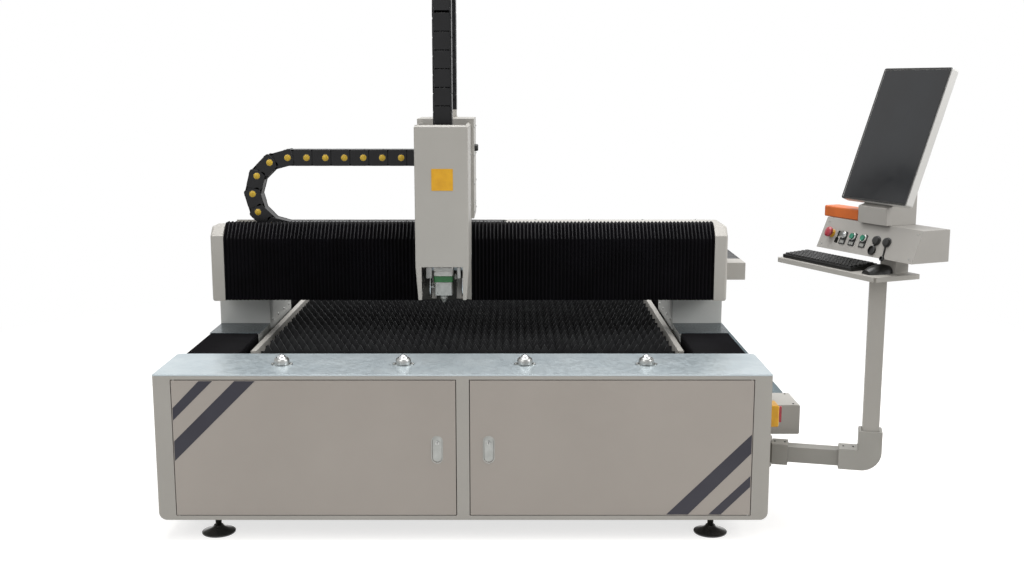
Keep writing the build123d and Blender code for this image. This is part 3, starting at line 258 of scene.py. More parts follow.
# Cold-rolled sheet that mirrors the dark cloth around it.
ROLLED = Finish(
    "cold_rolled_sheet", "galvanised", "#5f6a70", "#525c62", 60.0, 0.26, 0.9, Relief.BRUSHED, 4.0, 0.02, (1, 5, 1)
)
# Ground and zinc-plated steel of rails, screws and cups.
ZINC = Finish(
    "zinc_plated_steel", "steel", "#b4b5b3", "#9a9b99", 30.0, 0.30, 1.0, Relief.BRUSHED, 3.0, 0.02, (1, 6, 1)
)
# Bead-blasted aluminium of the head, the nozzle and the paddles: pale and without a mirror.
BLASTED = Finish("bead_blasted_aluminium", "steel", "#b3b5b2", "#a5a7a4", 25.0, 0.45, 0.6, relief_mm=1.0)
# Black-oxide steel of stems and of the plate behind the head.
BLACK_OXIDE = Finish("black_oxide_steel", "dark_steel", "#34342f", "#262623", 25.0, 0.38, 0.6, relief_mm=2.0)
# Mill scale on laser-cut slats: pale slag on the tips, and painted shade that darkens them towards the foot, where the
# slats shade each other.
MILL_SCALE = Finish(
    "mill_scale_steel",
    "dark_steel",
    "#38393a",
    "#29292b",
    60.0,
    0.45,
    0.3,
    relief_mm=3.0,
    depth_mm=0.15,
    painted_shade=(560.0, 632.0),
)
# Hard chrome on balls and rods.
CHROME = Finish("hard_chrome", "chrome", "#d6d7d8", "#c8cacc", 20.0, 0.14, 1.0, relief_mm=8.0, depth_mm=0.005)
# Coated nylon cloth of the bellows: deep black and fine-woven, and its matt coat throws little back.
CLOTH = Finish(
    "coated_nylon_cloth", "bellows", "#0a090b", "#0e0d10", 140.0, 0.62, 0.0, Relief.WEAVE, 3.0, 0.10, specular=0.05
)
# The same cloth, lighter in thin strips along the folds of the slope: a painted highlight where light catches the
# folds.
FOLD_HIGHLIGHT_CLOTH = Finish("cloth_painted_fold_highlight", "bellows", "#222124", "#1b1a1d", 90.0, 0.5, relief_mm=3.0, specular=0.2)
# Glass-filled nylon of the drag chains: black, glossy where it left the mould.
NYLON = Finish("glass_filled_nylon", "chain_plastic", "#111113", "#0c0c0e", 40.0, 0.34, relief_mm=2.5, specular=0.3)
# Rubber and dark moulded plastic of feet, caps and keys.
PAD = Finish("glossy_foot_plastic", "black_plastic", "#2a2a29", "#232322", 25.0, 0.25, relief_mm=3.0, coat=0.5)
MOULDED = Finish("moulded_black_plastic", "black_plastic", "#191918", "#111110", 25.0, 0.32, relief_mm=2.0)
# Black strip behind the door gaps: painted shade, that makes the gaps look dark.
GAP_SHADE_BLACK = Finish("door_seal_rubber", "black_plastic", "#0c0b0a", "#080807", 30.0, 0.8, relief_mm=3.0, specular=0.1)
PIN_YELLOW = Finish("yellow_pin_plastic", "yellow", "#c7a52a", "#b89620", 20.0, 0.40, relief_mm=2.0)
ISOLATOR_YELLOW = Finish("yellow_switch_plastic", "yellow", "#d9a21c", "#cc9417", 30.0, 0.35, relief_mm=2.0)
SIGNAL_RED = Finish("red_switch_plastic", "red", "#a61c30", "#8f1727", 20.0, 0.28, relief_mm=2.0, coat=0.3)
BUTTON_GREEN = Finish("green_lens_plastic", "green", "#2c8064", "#23705a", 12.0, 0.25, relief_mm=2.0, coat=0.5)
RING_GREEN = Finish("green_anodised_ring", "green", "#2c7a41", "#276c39", 30.0, 0.35, relief_mm=2.0)
WHITE = Finish("white_sensor_plastic", "white_plastic", "#f2f0ec", "#eae8e4", 30.0, 0.35, relief_mm=2.0)
ORANGE = Finish("orange_case_plastic", "orange", "#cf6a2a", "#c26024", 60.0, 0.40, relief_mm=1.5)
NAVY = Finish("navy_vinyl_film", "mid_grey", "#262531", "#211f2c", 120.0, 0.35, relief_mm=6.0, depth_mm=0.01)
GLASS = Finish("dark_screen_glass", "screen_glass", "#17181a", "#1b1d20", 200.0, 0.16, relief_mm=40.0, depth_mm=0.002)
PALE = Finish("blank_insert_card", "white_plastic", "#8f8f8b", "#868682", 10.0, 0.5, relief_mm=2.0)


class Form:
    """A closed shape in millimetres, built in its own place before it is put in the machine."""

    def __init__(self) -> None:
        self.shape = bmesh.new()

    def _point(self, along: Axis, a: float, b: float, h: float) -> Vector:
        """Put an outline's point and its distance along the axis in order."""
        return Vector({Axis.X: (h, a, b), Axis.Y: (a, h, b), Axis.Z: (a, b, h)}[along])

    def block(self, x: tuple, y: tuple, z: tuple) -> "Form":
        """Add a box between two values on each axis."""
        return self.prism([(x[0], y[0]), (x[1], y[0]), (x[1], y[1]), (x[0], y[1])], Axis.Z, z)

    def prism(self, outline: list, along: Axis, reach: tuple, holes: list = ()) -> "Form":
        """Pull an outline, with its holes, along an axis.

        Args:
            outline: points in the two other axes, in X, Y, Z order.
            along: the axis that it is pulled along.
            reach: the two ends on that axis.
            holes: further outlines that are left open.

        Returns:
            The form itself.
        """
        loops = [outline, *holes]
        ends = []
        for h in reach:
            ends.append([[self.shape.verts.new(self._point(along, a, b, h)) for a, b in loop] for loop in loops])
        flat = [[Vector((a, b, 0)) for a, b in loop] for loop in loops]
        caps = tessellate_polygon(flat) if holes else None
        for side in ends:
            every = [v for loop in side for v in loop]
            if caps is None:
                self.shape.faces.new(every)
            else:
                for triangle in caps:
                    self.shape.faces.new([every[i] for i in triangle])
        for near, far in zip(*ends):
            for i in range(len(near)):
                j = (i + 1) % len(near)
                self.shape.faces.new((near[i], near[j], far[j], far[i]))
        return self

    def loft(self, sections: list) -> "Form":
        """Join closed loops of points, one after the other, and leave both ends open."""
        rings = [[self.shape.verts.new(p) for p in loop] for loop in sections]
        for near, far in zip(rings, rings[1:]):
            for i in range(len(near)):
                j = (i + 1) % len(near)
                self.shape.faces.new((near[i], near[j], far[j], far[i]))
        return self

    def lathe(self, profile: list, centre: tuple, about: Axis = Axis.Z, steps: int = 32) -> "Form":
        """Turn a profile about an axis through a point.

        Args:
            profile: radius and distance along the axis of each point, from one pole to the other.
            centre: the point that the distances count from.
            about: the axis.
            steps: the number of flats.

        Returns:
            The form itself.
        """
        rings = []
        for radius, h in profile:
            if radius == 0:
                rings.append([self.shape.verts.new(self._point(about, 0, 0, h) + Vector(centre))])
                continue
            ring = []
            for i in range(steps):
                turn = math.tau * i / steps
                flat = self._point(about, radius * math.cos(turn), radius * math.sin(turn), h)
                ring.append(self.shape.verts.new(flat + Vector(centre)))
            rings.append(ring)
        for near, far in zip(rings, rings[1:]):
            for i in range(steps):
                j = (i + 1) % steps
                corners = [near[i % len(near)], near[j % len(near)], far[j % len(far)], far[i % len(far)]]
                self.shape.faces.new(list(dict.fromkeys(corners)))
        return self

    def soften(self, width: float, segments: int = 2, angle: float = 30.0) -> "Form":
        """Round every edge that turns by more than an angle."""
        bmesh.ops.recalc_face_normals(self.shape, faces=self.shape.faces[:])
        sharp = [
            e
            for e in self.shape.edges
            if len(e.link_faces) == 2 and e.calc_face_angle(0.0) > math.radians(angle)
        ]
        bmesh.ops.bevel(
            self.shape, geom=sharp, offset=width, segments=segments, affect="EDGES", clamp_overlap=True
        )
        return self

    def mesh(self) -> bpy.types.Mesh:
        """Give the shape as a mesh, with its faces pointing outwards."""
        bmesh.ops.recalc_face_normals(self.shape, faces=self.shape.faces[:])
        data = bpy.data.meshes.new("form")
        self.shape.to_mesh(data)
        self.shape.free()
        return data


def rounded(points: list, radius: float, steps: int = 5) -> list:
    """Round each corner of an outline.

    Args:
        points: the corners in order.
        radius: the corner radius.
        steps: the number of flats on each corner.

    Returns:
        The new outline.
    """
    result = []
    for i, here in enumerate(points):
        p = Vector(here)
        back, ahead = Vector(points[i - 1]) - p, Vector(points[(i + 1) % len(points)]) - p
        half = back.angle(ahead) / 2
        run = min(radius / math.tan(half), back.length / 2, ahead.length / 2)
        start, end = p + back.normalized() * run, p + ahead.normalized() * run
        centre = p + (back.normalized() + ahead.normalized()).normalized() * (run / math.cos(half))
        sweep = (start - centre).angle_signed(end - centre)
        for k in range(steps + 1):
            turn = -sweep * k / steps
            arm = start - centre
            result.append(
                (
                    centre.x + arm.x * math.cos(turn) - arm.y * math.sin(turn),
                    centre.y + arm.x * math.sin(turn) + arm.y * math.cos(turn),
                )
            )
    return result


class Repeater:
    """Geometry Nodes that repeat a shape by equal steps and equal turns."""

    NAMES = ("Count", "Start", "Step", "Turn", "Finish")

    def __init__(self) -> None:
        tree = bpy.data.node_groups.new("repeat_in_a_row", "GeometryNodeTree")
        face = tree.interface
        face.new_socket("Geometry", in_out="INPUT", socket_type="NodeSocketGeometry")
        kinds = ("Int", "Vector", "Vector", "Vector", "Material")
        self.sockets = {
            name: face.new_socket(name, in_out="INPUT", socket_type="NodeSocket" + kind).identifier
            for name, kind in zip(self.NAMES, kinds)
        }
        face.new_socket("Geometry", in_out="OUTPUT", socket_type="NodeSocketGeometry")
        given = add(tree, "NodeGroupInput").outputs
        line = add(
            tree,
            "GeometryNodeMeshLine",
            {"Count": given["Count"], "Start Location": given["Start"], "Offset": given["Step"]},
        )
        index = add(tree, "GeometryNodeInputIndex").outputs["Index"]
        turn = add(tree, "ShaderNodeVectorMath", {"Vector": given["Turn"], "Scale": index}, operation="SCALE")
        copies = add(
            tree,
            "GeometryNodeInstanceOnPoints",
            {"Points": line.outputs["Mesh"], "Instance": given["Geometry"], "Rotation": turn.outputs["Vector"]},
        )
        real = add(tree, "GeometryNodeRealizeInstances", {"Geometry": copies.outputs["Instances"]})
        dressed = add(
            tree,
            "GeometryNodeSetMaterial",
            {"Geometry": real.outputs["Geometry"], "Material": given["Finish"]},
        )
        add(tree, "NodeGroupOutput", {"Geometry": dressed.outputs["Geometry"]})
        self.tree = tree

    def row(
        self,
        item: bpy.types.Mesh,
        finish: Finish,
        count: int,
        step: tuple = (0, 0, 0),
        turn: tuple = (0, 0, 0),
        start: tuple = (0, 0, 0),
    ) -> bpy.types.Mesh:
        """Repeat a mesh and give the result as one plain mesh.

        Args:
            item: the mesh to repeat, in millimetres.
            finish: what it is made of.
            count: how many.
            step: the move from one to the next.
            turn: the turn from one to the next, in radians, about the item's own origin.
            start: where the first one's origin lies.

        Returns:
            The joined mesh.
        """
        carrier = bpy.data.objects.new("carrier", item)
        bpy.context.scene.collection.objects.link(carrier)
        modifier = carrier.modifiers.new("repeat", "NODES")
        modifier.node_group = self.tree
        values = (count, start, step, turn, finish.material())
        for name, value in zip(self.NAMES, values):
            modifier[self.sockets[name]] = [float(v) for v in value] if isinstance(value, tuple) else value
        carrier.update_tag()
        graph = bpy.context.evaluated_depsgraph_get()
        result = bpy.data.meshes.new_from_object(carrier.evaluated_get(graph))
        bpy.data.objects.remove(carrier)
        return result


REPEAT = Repeater()


class Piece:
    """One finished object: shapes with their finishes, joined, that moves with a body of the frame."""

    def __init__(self, name: str, body: str = "") -> None:
        self.name, self.body = name, body
        self.shape = bmesh.new()
        self.finishes: list[Finish] = []
        self.even = False

    def put(self, mesh: bpy.types.Mesh, finish: Finish, place: Matrix = Matrix(), merge: bool = False) -> "Piece":
        """Add a mesh in millimetres.

        Args:
            mesh: the mesh, which is used up.
            finish: what it is made of.
            place: where it stands in the machine.
            merge: join points that meet, and close what is left open.

        Returns:
            The piece itself.
        """
        if merge:
            part = bmesh.new()
            part.from_mesh(mesh)
            bmesh.ops.remove_doubles(part, verts=part.verts[:], dist=0.01)
            bmesh.ops.holes_fill(part, edges=[e for e in part.edges if e.is_boundary], sides=0)
            bmesh.ops.recalc_face_normals(part, faces=part.faces[:])
            part.to_mesh(mesh)
            part.free()
        mesh.transform(TO_FRAME @ place)
        return self._join(mesh, finish)

    def wear(self, node: str, finish: Finish, width: float = 1.0) -> "Piece":
        """Add a copy of a node of the frame, with its edges rounded.

        Args:
            node: the node's name.
            finish: what it is made of.
            width: the width of the rounding in millimetres.

        Returns:
            The piece itself.
        """
        self.even = True
        part = bmesh.new()
        part.from_mesh(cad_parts[node].data)
        bmesh.ops.remove_doubles(part, verts=part.verts[:], dist=1e-5)
        bmesh.ops.dissolve_limit(part, angle_limit=math.radians(0.5), verts=part.verts[:], edges=part.edges[:])
        sharp = [
            e for e in part.edges if len(e.link_faces) == 2 and e.calc_face_angle(0.0) > math.radians(28)
        ]
        bmesh.ops.bevel(
            part, geom=sharp, offset=width / 1000, segments=2, affect="EDGES", clamp_overlap=True
        )
        data = bpy.data.meshes.new(node)
        part.to_mesh(data)
        part.free()
        return self._join(data, finish)

    def recolour(self, finish: Finish, low: tuple, high: tuple) -> "Piece":
        """Give another finish to the faces whose middles lie in a box, in millimetres."""
        low, high = frame_point(*low), frame_point(*high)
        if finish not in self.finishes:
            self.finishes.append(finish)
        for face in self.shape.faces:
            middle = face.calc_center_median()
            if all(low[i] <= middle[i] <= high[i] for i in range(3)):
                face.material_index = self.finishes.index(finish)
        return self

    def _join(self, mesh: bpy.types.Mesh, finish: Finish) -> "Piece":
        """Take a mesh in, with its finish in a slot of its own."""
        if finish not in self.finishes:
            self.finishes.append(finish)
        count = len(self.shape.faces)
        self.shape.from_mesh(mesh)
        self.shape.faces.ensure_lookup_table()
        for face in self.shape.faces[count:]:
            face.material_index = self.finishes.index(finish)
            face.smooth = True
        bpy.data.meshes.remove(mesh)
        return self

    def done(self, *nodes: str) -> bpy.types.Object:
        """Make the object, let it stand for nodes of the frame and fix it to its body.

        Args:
            *nodes: the nodes that it stands for.

        Returns:
            The object.
        """
        data = bpy.data.meshes.new(self.name)
        self.shape.to_mesh(data)
        self.shape.free()
        log.info("%s: %d faces", self.name, len(data.polygons))
        for finish in self.finishes:
            data.materials.append(finish.material())
        data.set_sharp_from_angle(angle=math.radians(38))
        piece = bpy.data.objects.new(self.name, data)
        bpy.context.scene.collection.objects.link(piece)
        if self.even:
            self._level(piece)
        if self.body:
            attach(piece, self.body)
        if nodes:
            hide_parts(*nodes)
        return piece


    def _level(self, piece: bpy.types.Object) -> None:
        """Let large flat faces set the shading, so that only the rounded edges look round."""
        modifier = piece.modifiers.new("level", "WEIGHTED_NORMAL")
        modifier.keep_sharp = True
        graph = bpy.context.evaluated_depsgraph_get()
        level = bpy.data.meshes.new_from_object(piece.evaluated_get(graph))
        piece.modifiers.remove(modifier)
        old, piece.data = piece.data, level
        bpy.data.meshes.remove(old)


def dress(body: str, finish: Finish, *nodes: str, width: float = 1.0) -> None:
    """Give nodes of the frame rounded edges and a finish, each as a piece of its own."""
    for node in nodes:
        Piece(node + "_dressed", body).wear(node, finish, width).done(node)


def keep(finish: Finish, *nodes: str) -> None:
    """Keep nodes of the frame as they are, with a finish."""
    for node in nodes:
        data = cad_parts[node].data
        data.materials.clear()
        data.materials.append(finish.material())


def screw_head(radius: float) -> bpy.types.Mesh:
    """Make a low button head with a socket, that stands on the origin along +Z."""
    profile = [
        (0, 0.3 * radius),
        (0.45 * radius, 0.3 * radius),
        (0.5 * radius, 0.62 * radius),
        (0.85 * radius, 0.5 * radius),
        (radius, 0.15 * radius),
        (radius, -0.2 * radius),
        (0, -0.2 * radius),
    ]
    return Form().lathe(profile, (0, 0, 0), steps=10).mesh()


def facing(at: tuple, way: tuple) -> Matrix:
    """Put a shape that stands along +Z at a point, so that it stands along another way."""
    return Matrix.Translation(at) @ Vector((0, 0, 1)).rotation_difference(Vector(way)).to_matrix().to_4x4()


def screws(piece: Piece, at: tuple, way: tuple, count: int, step: tuple, radius: float, finish: Finish = ZINC) -> None:
    """Add a row of screw heads to a piece.

    Args:
        piece: the piece that takes them.
        at: where the first one sits.
        way: the way they stand out.
        count: how many.
        step: the move from one to the next, in the machine.
        radius: the head's radius.
        finish: what they are made of.
    """
    head = screw_head(radius)
    head.transform(facing((0, 0, 0), way))
    piece.put(REPEAT.row(head, finish, count, step=step, start=at), finish)


@dataclass
class Bed:
    """The welded bed with its cabinet, doors, feet, slats and side fittings."""

    plate_top: float = 648.0
    door_inner: float = 27.0
    door_outer: float = 1082.0
    door_low: float = 103.0
    door_high: float = 625.0
    film: float = 0.4
    slat_count: int = 31
    slat_pitch: float = 100.0
    slat_first: float = 554.0
    tooth_pitch: float = 32.0
    slat_half: float = 862.0
    slat_foot: float = 520.0
    slat_tip: float = 640.0
    tooth_height: float = 28.0
    slat_thickness: float = 4.0
    foot_x: float = 950.0
    foot_rows: tuple[float, float, float] = (92.0, 2325.0, 4558.0)
    ball_pitch: float = 466.0
    ball_y: float = 162.0
    ball_radius: float = 19.0

    def build(self) -> None:
        """Build every part of the bed."""
        dress("bed", POWDER, "bed_frame", width=2.0)
        dress("bed", GALVANISED, "front_plate", width=0.6)
        dress("bed", POWDER, "slat_racks", "side_box", width=1.5)
        dress("bed", GALVANISED, "y_chain_tray", width=0.5)
        keep(ROLLED, "slag_tray")
        keep(ZINC, "y_guides", "door_pins")
        self.doors()
        self.latches()
        self.balls()
        self.feet()
        self.slats()
        self.switch()

    def doors(self) -> None:
        """Dress both doors and lay the two slanted bands of film on each."""
        left = [
            [(-979, 623), (-928, 623), (-1080, 472), (-1080, 519)],
            [(-846, 623), (-770, 623), (-1080, 315), (-1080, 391)],
        ]
        right = [
            [(1080, 418), (1080, 344), (848, 105), (766, 105)],
            [(1080, 257), (1080, 214), (972, 105), (925, 105)],
        ]
        for side, bands in (("left", left), ("right", right)):
            piece = Piece(f"door_{side}_dressed", f"door_{side}_body").wear(f"door_{side}", DOOR_POWDER_WARM_REFLECTION, 1.6)
            for band in bands:
                piece.put(Form().prism(band, Axis.Y, (-self.film, 0.2)).mesh(), NAVY)
            piece.done(f"door_{side}")
            self.shade_gap(side, -1 if side == "left" else 1)

    def shade_gap(self, side: str, sign: int) -> None:
        """Lay a black strip around an opening, behind the door's edges: painted shade, so that the gap around the door
        looks dark.
        """
        x, z = (24.2, 1084.8), (100.2, 627.8)
        outer = [(sign * x[0], z[0]), (sign * x[1], z[0]), (sign * x[1], z[1]), (sign * x[0], z[1])]
        x, z = (x[0] + 12, x[1] - 12), (z[0] + 12, z[1] - 12)
        inner = [(sign * x[0], z[0]), (sign * x[1], z[0]), (sign * x[1], z[1]), (sign * x[0], z[1])]
        ring = Form().prism(outer, Axis.Y, (23.5, 27.0), [inner])
        Piece(f"door_seal_{side}", "bed").put(ring.mesh(), GAP_SHADE_BLACK).done()

    def latches(self) -> None:
        """Dress the oblong paddles and give each a lock barrel."""
        for side, sign in (("left", -1), ("right", 1)):
            x = sign * 96.5
            piece = Piece(f"latch_{side}_dressed", f"latch_{side}_body").wear(f"latch_{side}", BLASTED, 0.8)
            barrel = [(0, -3.2), (7, -3.2), (8, -2.4), (8, 1.0), (0, 1.0)]
            piece.put(Form().lathe(barrel, (x, 4.5, 384), Axis.Y, 24).mesh(), ZINC)
            slit = Form().block((x - 1, x + 1), (0.9, 1.6), (379, 389))
            piece.put(slit.mesh(), MOULDED)
            piece.done(f"latch_{side}")
            self.bezel(side, x)

    def bezel(self, side: str, x: float) -> None:
        """Lay the oblong rim of a latch's cup on its door."""
        outer = rounded([(x - 21.5, 305.5), (x + 21.5, 305.5), (x + 21.5, 412.5), (x - 21.5, 412.5)], 21.4, 8)
        inner = rounded([(x - 19.2, 307.8), (x + 19.2, 307.8), (x + 19.2, 410.2), (x - 19.2, 410.2)], 19.1, 8)
        rim = Form().prism(outer, Axis.Y, (-1.6, 0.5), [inner]).soften(0.5)
        Piece(f"latch_rim_{side}", f"door_{side}_body").put(rim.mesh(), BLASTED).done()

    def balls(self) -> None:
        """Build the four ball transfer units on the front plate."""
        piece = Piece("ball_units", "bed")
        first, step = (-1.5 * self.ball_pitch, self.ball_y, self.plate_top), (self.ball_pitch, 0, 0)
        oval = rounded([(-42, -20), (42, -20), (42, 20), (-42, 20)], 19.9, 8)
        flange = Form().prism(oval, Axis.Z, (0, 4)).soften(0.8)
        cup = Form().lathe([(19.6, 8), (19.6, 26), (22, 27.5), (27, 24), (29.5, 17), (29.5, 3)], (0, 0, 0), steps=40)
        ball = Form().lathe(
            [(self.ball_radius * math.sin(math.pi * i / 16), 21 - self.ball_radius * math.cos(math.pi * i / 16))
             if 0 < i < 16 else (0, 2 if i == 0 else 40) for i in range(17)],
            (0, 0, 0),
            steps=32,
        )
        for form, finish in ((flange, ZINC), (cup, ZINC), (ball, CHROME)):
            piece.put(REPEAT.row(form.mesh(), finish, 4, step=step, start=first), finish)
        for side in (-1, 1):
            at = (first[0] + side * 35, self.ball_y, self.plate_top + 4)
            screws(piece, at, (0, 0, 1), 4, step, 5.0)
        piece.done("ball_transfer_units")

    def feet(self) -> None:
        """Build the six levelling feet: a pad and a threaded stem each."""
        piece = Piece("levelling_feet_dressed", "bed")
        pad = [(0, 0), (62, 0), (64, 2), (64, 6), (52, 10), (34, 17), (22, 24), (18, 31), (0, 31)]
        thread = [(0, 28)]
        rise = 28.0
        while rise < 80:
            thread += [(10.6, rise), (12, rise + 1.5)]
            rise += 3
        thread += [(11, 84), (0, 84)]
        for x in (-self.foot_x, self.foot_x):
            for form, finish in (
                (Form().lathe(pad, (0, 0, 0), steps=40), PAD),
                (Form().lathe(thread, (0, 0, 0), steps=20), BLACK_OXIDE),
            ):
                rows = self.foot_rows
                step = (0, rows[1] - rows[0], 0)
                piece.put(REPEAT.row(form.mesh(), finish, 3, step=step, start=(x, rows[0], 0)), finish)
        piece.done("levelling_feet")

    def slats(self) -> None:
        """Build the row of toothed slats."""
        valley = self.slat_tip - self.tooth_height
        teeth = int(2 * self.slat_half // self.tooth_pitch)
        start = -teeth * self.tooth_pitch / 2
        outline = [(-self.slat_half, self.slat_foot), (self.slat_half, self.slat_foot), (self.slat_half, valley)]
        for i in range(teeth, 0, -1):
            right = start + i * self.tooth_pitch
            outline += [(right, valley), (right - self.tooth_pitch / 2 + 1, self.slat_tip)]
            outline.append((right - self.tooth_pitch / 2 - 1, self.slat_tip))
        outline += [(start, valley), (-self.slat_half, valley)]
        half = self.slat_thickness / 2
        one = Form().prism(outline, Axis.Y, (-half, half)).mesh()
        row = REPEAT.row(one, MILL_SCALE, self.slat_count, step=(0, self.slat_pitch, 0), start=(0, self.slat_first, 0))
        Piece("slats_dressed", "bed").put(row, MILL_SCALE).done("slats")

    def switch(self) -> None:
        """Dress the main switch and its handle, and screw the electrical box."""
        piece = Piece("isolator_plate_dressed", "bed").wear("isolator_plate", ISOLATOR_YELLOW, 1.0)
        screws(piece, (1187.6, 50, 444), (1, 0, 0), 2, (0, 60, 0), 3.0)
        screws(piece, (1187.6, 50, 508), (1, 0, 0), 2, (0, 60, 0), 3.0)
        piece.done("isolator_plate")
        dress("isolator_body", SIGNAL_RED, "isolator_handle", width=1.5)
        piece = Piece("side_box_screws", "bed")
        for y in (228, 380):
            screws(piece, (1180, y, 474), (0, 0, 1), 2, (105, 0, 0), 4.0, MOULDED)
        piece.done()


@dataclass
class Bellows:
    """A pleated cloth cover, made of one pleat that is repeated along its axis."""

    depth: float = 8.0
    sheet: float = 1.6

    def cross_loop(self, x: float, inset: float) -> list:
        """Give the strip around the beam's front and top at a place along X."""
        front, top, slope, back, low = 772 + inset, 1118 - inset, 60, 898, 788
        t = self.sheet
        return [
            (x, front, low),
            (x, front, top - slope),
            (x, front + slope, top),
            (x, back, top),
            (x, back, top - t),
            (x, front + slope + t / 2, top - t),
            (x, front + t, top - slope - t / 2),
            (x, front + t, low),
        ]

    def rail_loop(self, y: float, inset: float) -> list:
        """Give the strip over the right rail at a place along Y."""
        inner, outer, top, low, t = 912 + inset / 2, 1122 - inset / 2, 648 - inset, 566, self.sheet
        return [
            (inner, y, low),
            (inner, y, top - 6),
            (inner + 6, y, top),
            (outer - 6, y, top),
            (outer, y, top - 6),
            (outer, y, low),
            (outer - t, y, low),
            (outer - t, y, top - 6 - t / 2),
            (outer - 6, y, top - t),
            (inner + 6, y, top - t),
            (inner + t, y, top - 6 - t / 2),
            (inner + t, y, low),
        ]

    def cross(self, name: str, x0: float, x1: float, pitch: float) -> bpy.types.Object:
        """Build a cover of the beam between two places."""
        count = round((x1 - x0) / pitch)
        step = (x1 - x0) / count
        loops = [self.cross_loop(0, 0), self.cross_loop(step / 2, self.depth), self.cross_loop(step, 0)]
        row = REPEAT.row(Form().loft(loops).mesh(), CLOTH, count, step=(step, 0, 0), start=(x0, 0, 0))
        piece = Piece(name + "_dressed").put(row, CLOTH, merge=True)
        # Thin lighter strips on the slope at each fold: painted highlight.
        highlight_band = [(771.8, 1056), (832, 1118.3), (832, 1117), (772.5, 1056)]
        fold_highlight = Form().prism(highlight_band, Axis.X, (-1.6, 1.6)).mesh()
        piece.put(REPEAT.row(fold_highlight, FOLD_HIGHLIGHT_CLOTH, count - 1, step=(step, 0, 0), start=(x0 + step, 0, 0)), FOLD_HIGHLIGHT_CLOTH)
        return piece.done(name)

    def along(self, name: str, y0: float, y1: float, pitch: float) -> bpy.types.Object:
        """Build the covers of both rails between two places."""
        count = round((y1 - y0) / pitch)
        step = (y1 - y0) / count
        loops = [self.rail_loop(0, 0), self.rail_loop(step / 2, 6.0), self.rail_loop(step, 0)]
        piece = Piece(name + "_dressed")
        for place in (Matrix(), Matrix.Scale(-1, 4, (1, 0, 0))):
            row = REPEAT.row(Form().loft(loops).mesh(), CLOTH, count, step=(0, step, 0), start=(0, y0, 0))
            row.transform(place)
            piece.put(row, CLOTH, merge=True)
        return piece.done(name)

    def build(self) -> None:
        """Build the four covers; the rear one is fixed to the bed."""
        left = self.cross("x_bellows_left", -1054, -204.5, 16.0)
        right = self.cross("x_bellows_right", 10, 1054, 16.0)
        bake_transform(left)
        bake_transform(right)
        front = self.along("y_bellows_front", 350, 745, 20.0)
        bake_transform(front)
        rear = self.along("y_bellows_rear", 1500, 4640, 20.0)
        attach(rear, "bed")
        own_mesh(rear)


@dataclass
class Chain:
    """A drag chain of nylon links: side plates that overlap at their pins, and crossbars."""

    height: float = 71.0
    width: float = 77.0
    pitch: float = 83.0
    plate: float = 4.0
    pins: bool = False

    def link(self, pitch: float) -> list:
        """Make one link along +X from its first pin, as meshes with their finishes.

        Args:
            pitch: the distance between its pins.

        Returns:
            Pairs of mesh and finish.
        """
        half, wide, t = self.height / 2, self.width / 2, self.plate
        body = Form()
        for side in (-1, 1):
            outer = sorted((side * wide, side * (wide - t)))
            inner = sorted((side * (wide - t), side * (wide - 2 * t)))
            end = pitch - 24.5
            a = rounded([(-24, -half), (end, -half), (end, half), (-24, half)], 11, 3)
            b = rounded([(0.4 * pitch, -half), (pitch + 22, -half), (pitch + 22, half), (0.4 * pitch, half)], 11, 3)
            body.prism(a, Axis.Y, outer)
            body.prism(b, Axis.Y, inner)
        for z in (-1, 1):
            low, high = sorted((z * (half - 1), z * (half - 8)))
            body.block((0.02 * pitch, 0.98 * pitch), (-wide + t, wide - t), (low, high))
        parts = [(body.soften(1.0, 1).mesh(), NYLON)]
        cables = Form()
        for across, size in ((-22, 9.0), (-2, 7.5), (14, 6.0), (25, 4.5)):
            ring = [(across + size * math.cos(a), size * math.sin(a)) for a in (math.tau * i / 10 for i in range(10))]
            cables.prism(ring, Axis.X, (-1.0, pitch + 1.0))
        parts.append((cables.mesh(), MOULDED))
        if self.pins:
            button = [(0, 1.6), (12.8, 1.5), (14, 0.7), (14, -1.0), (0, -1.0)]
            parts.append((Form().lathe([(r, -h) for r, h in button], (0, -wide, 0), Axis.Y, 20).mesh(), PIN_YELLOW))
            dimple = [(0, -0.6), (16.5, -0.6), (17.5, 0.5), (0, 0.5)]
            parts.append((Form().lathe(dimple, (0, -wide, 0), Axis.Y, 20).mesh(), MOULDED))
        return parts

    def run(self, piece: Piece, start: float, end: float, place: Matrix) -> None:
        """Add a straight run between two places on the local X axis."""
        count = max(1, round(abs(end - start) / self.pitch))
        pitch = (end - start) / count
        for mesh, finish in self.link(abs(pitch)):
            if pitch < 0:
                mesh.transform(Matrix.Rotation(math.pi, 4, "Z") @ Matrix.Scale(-1, 4, (0, 1, 0)))
                mesh.flip_normals()
            row = REPEAT.row(mesh, finish, count, step=(pitch, 0, 0), start=(start, 0, 0))
            piece.put(row, finish, place)

    def bend(self, piece: Piece, radius: float, place: Matrix) -> None:
        """Add half a turn about the local origin, open towards +X."""
        count = round(math.pi * radius / self.pitch)
        turn = math.pi / count
        chord = 2 * radius * math.sin(turn / 2)
        tilt = Matrix.Translation((0, 0, radius)) @ Matrix.Rotation(math.pi - turn / 2, 4, "Y")
        for mesh, finish in self.link(chord):
            mesh.transform(tilt)
            row = REPEAT.row(mesh, finish, count, turn=(0, -turn, 0))
            piece.put(row, finish, place)


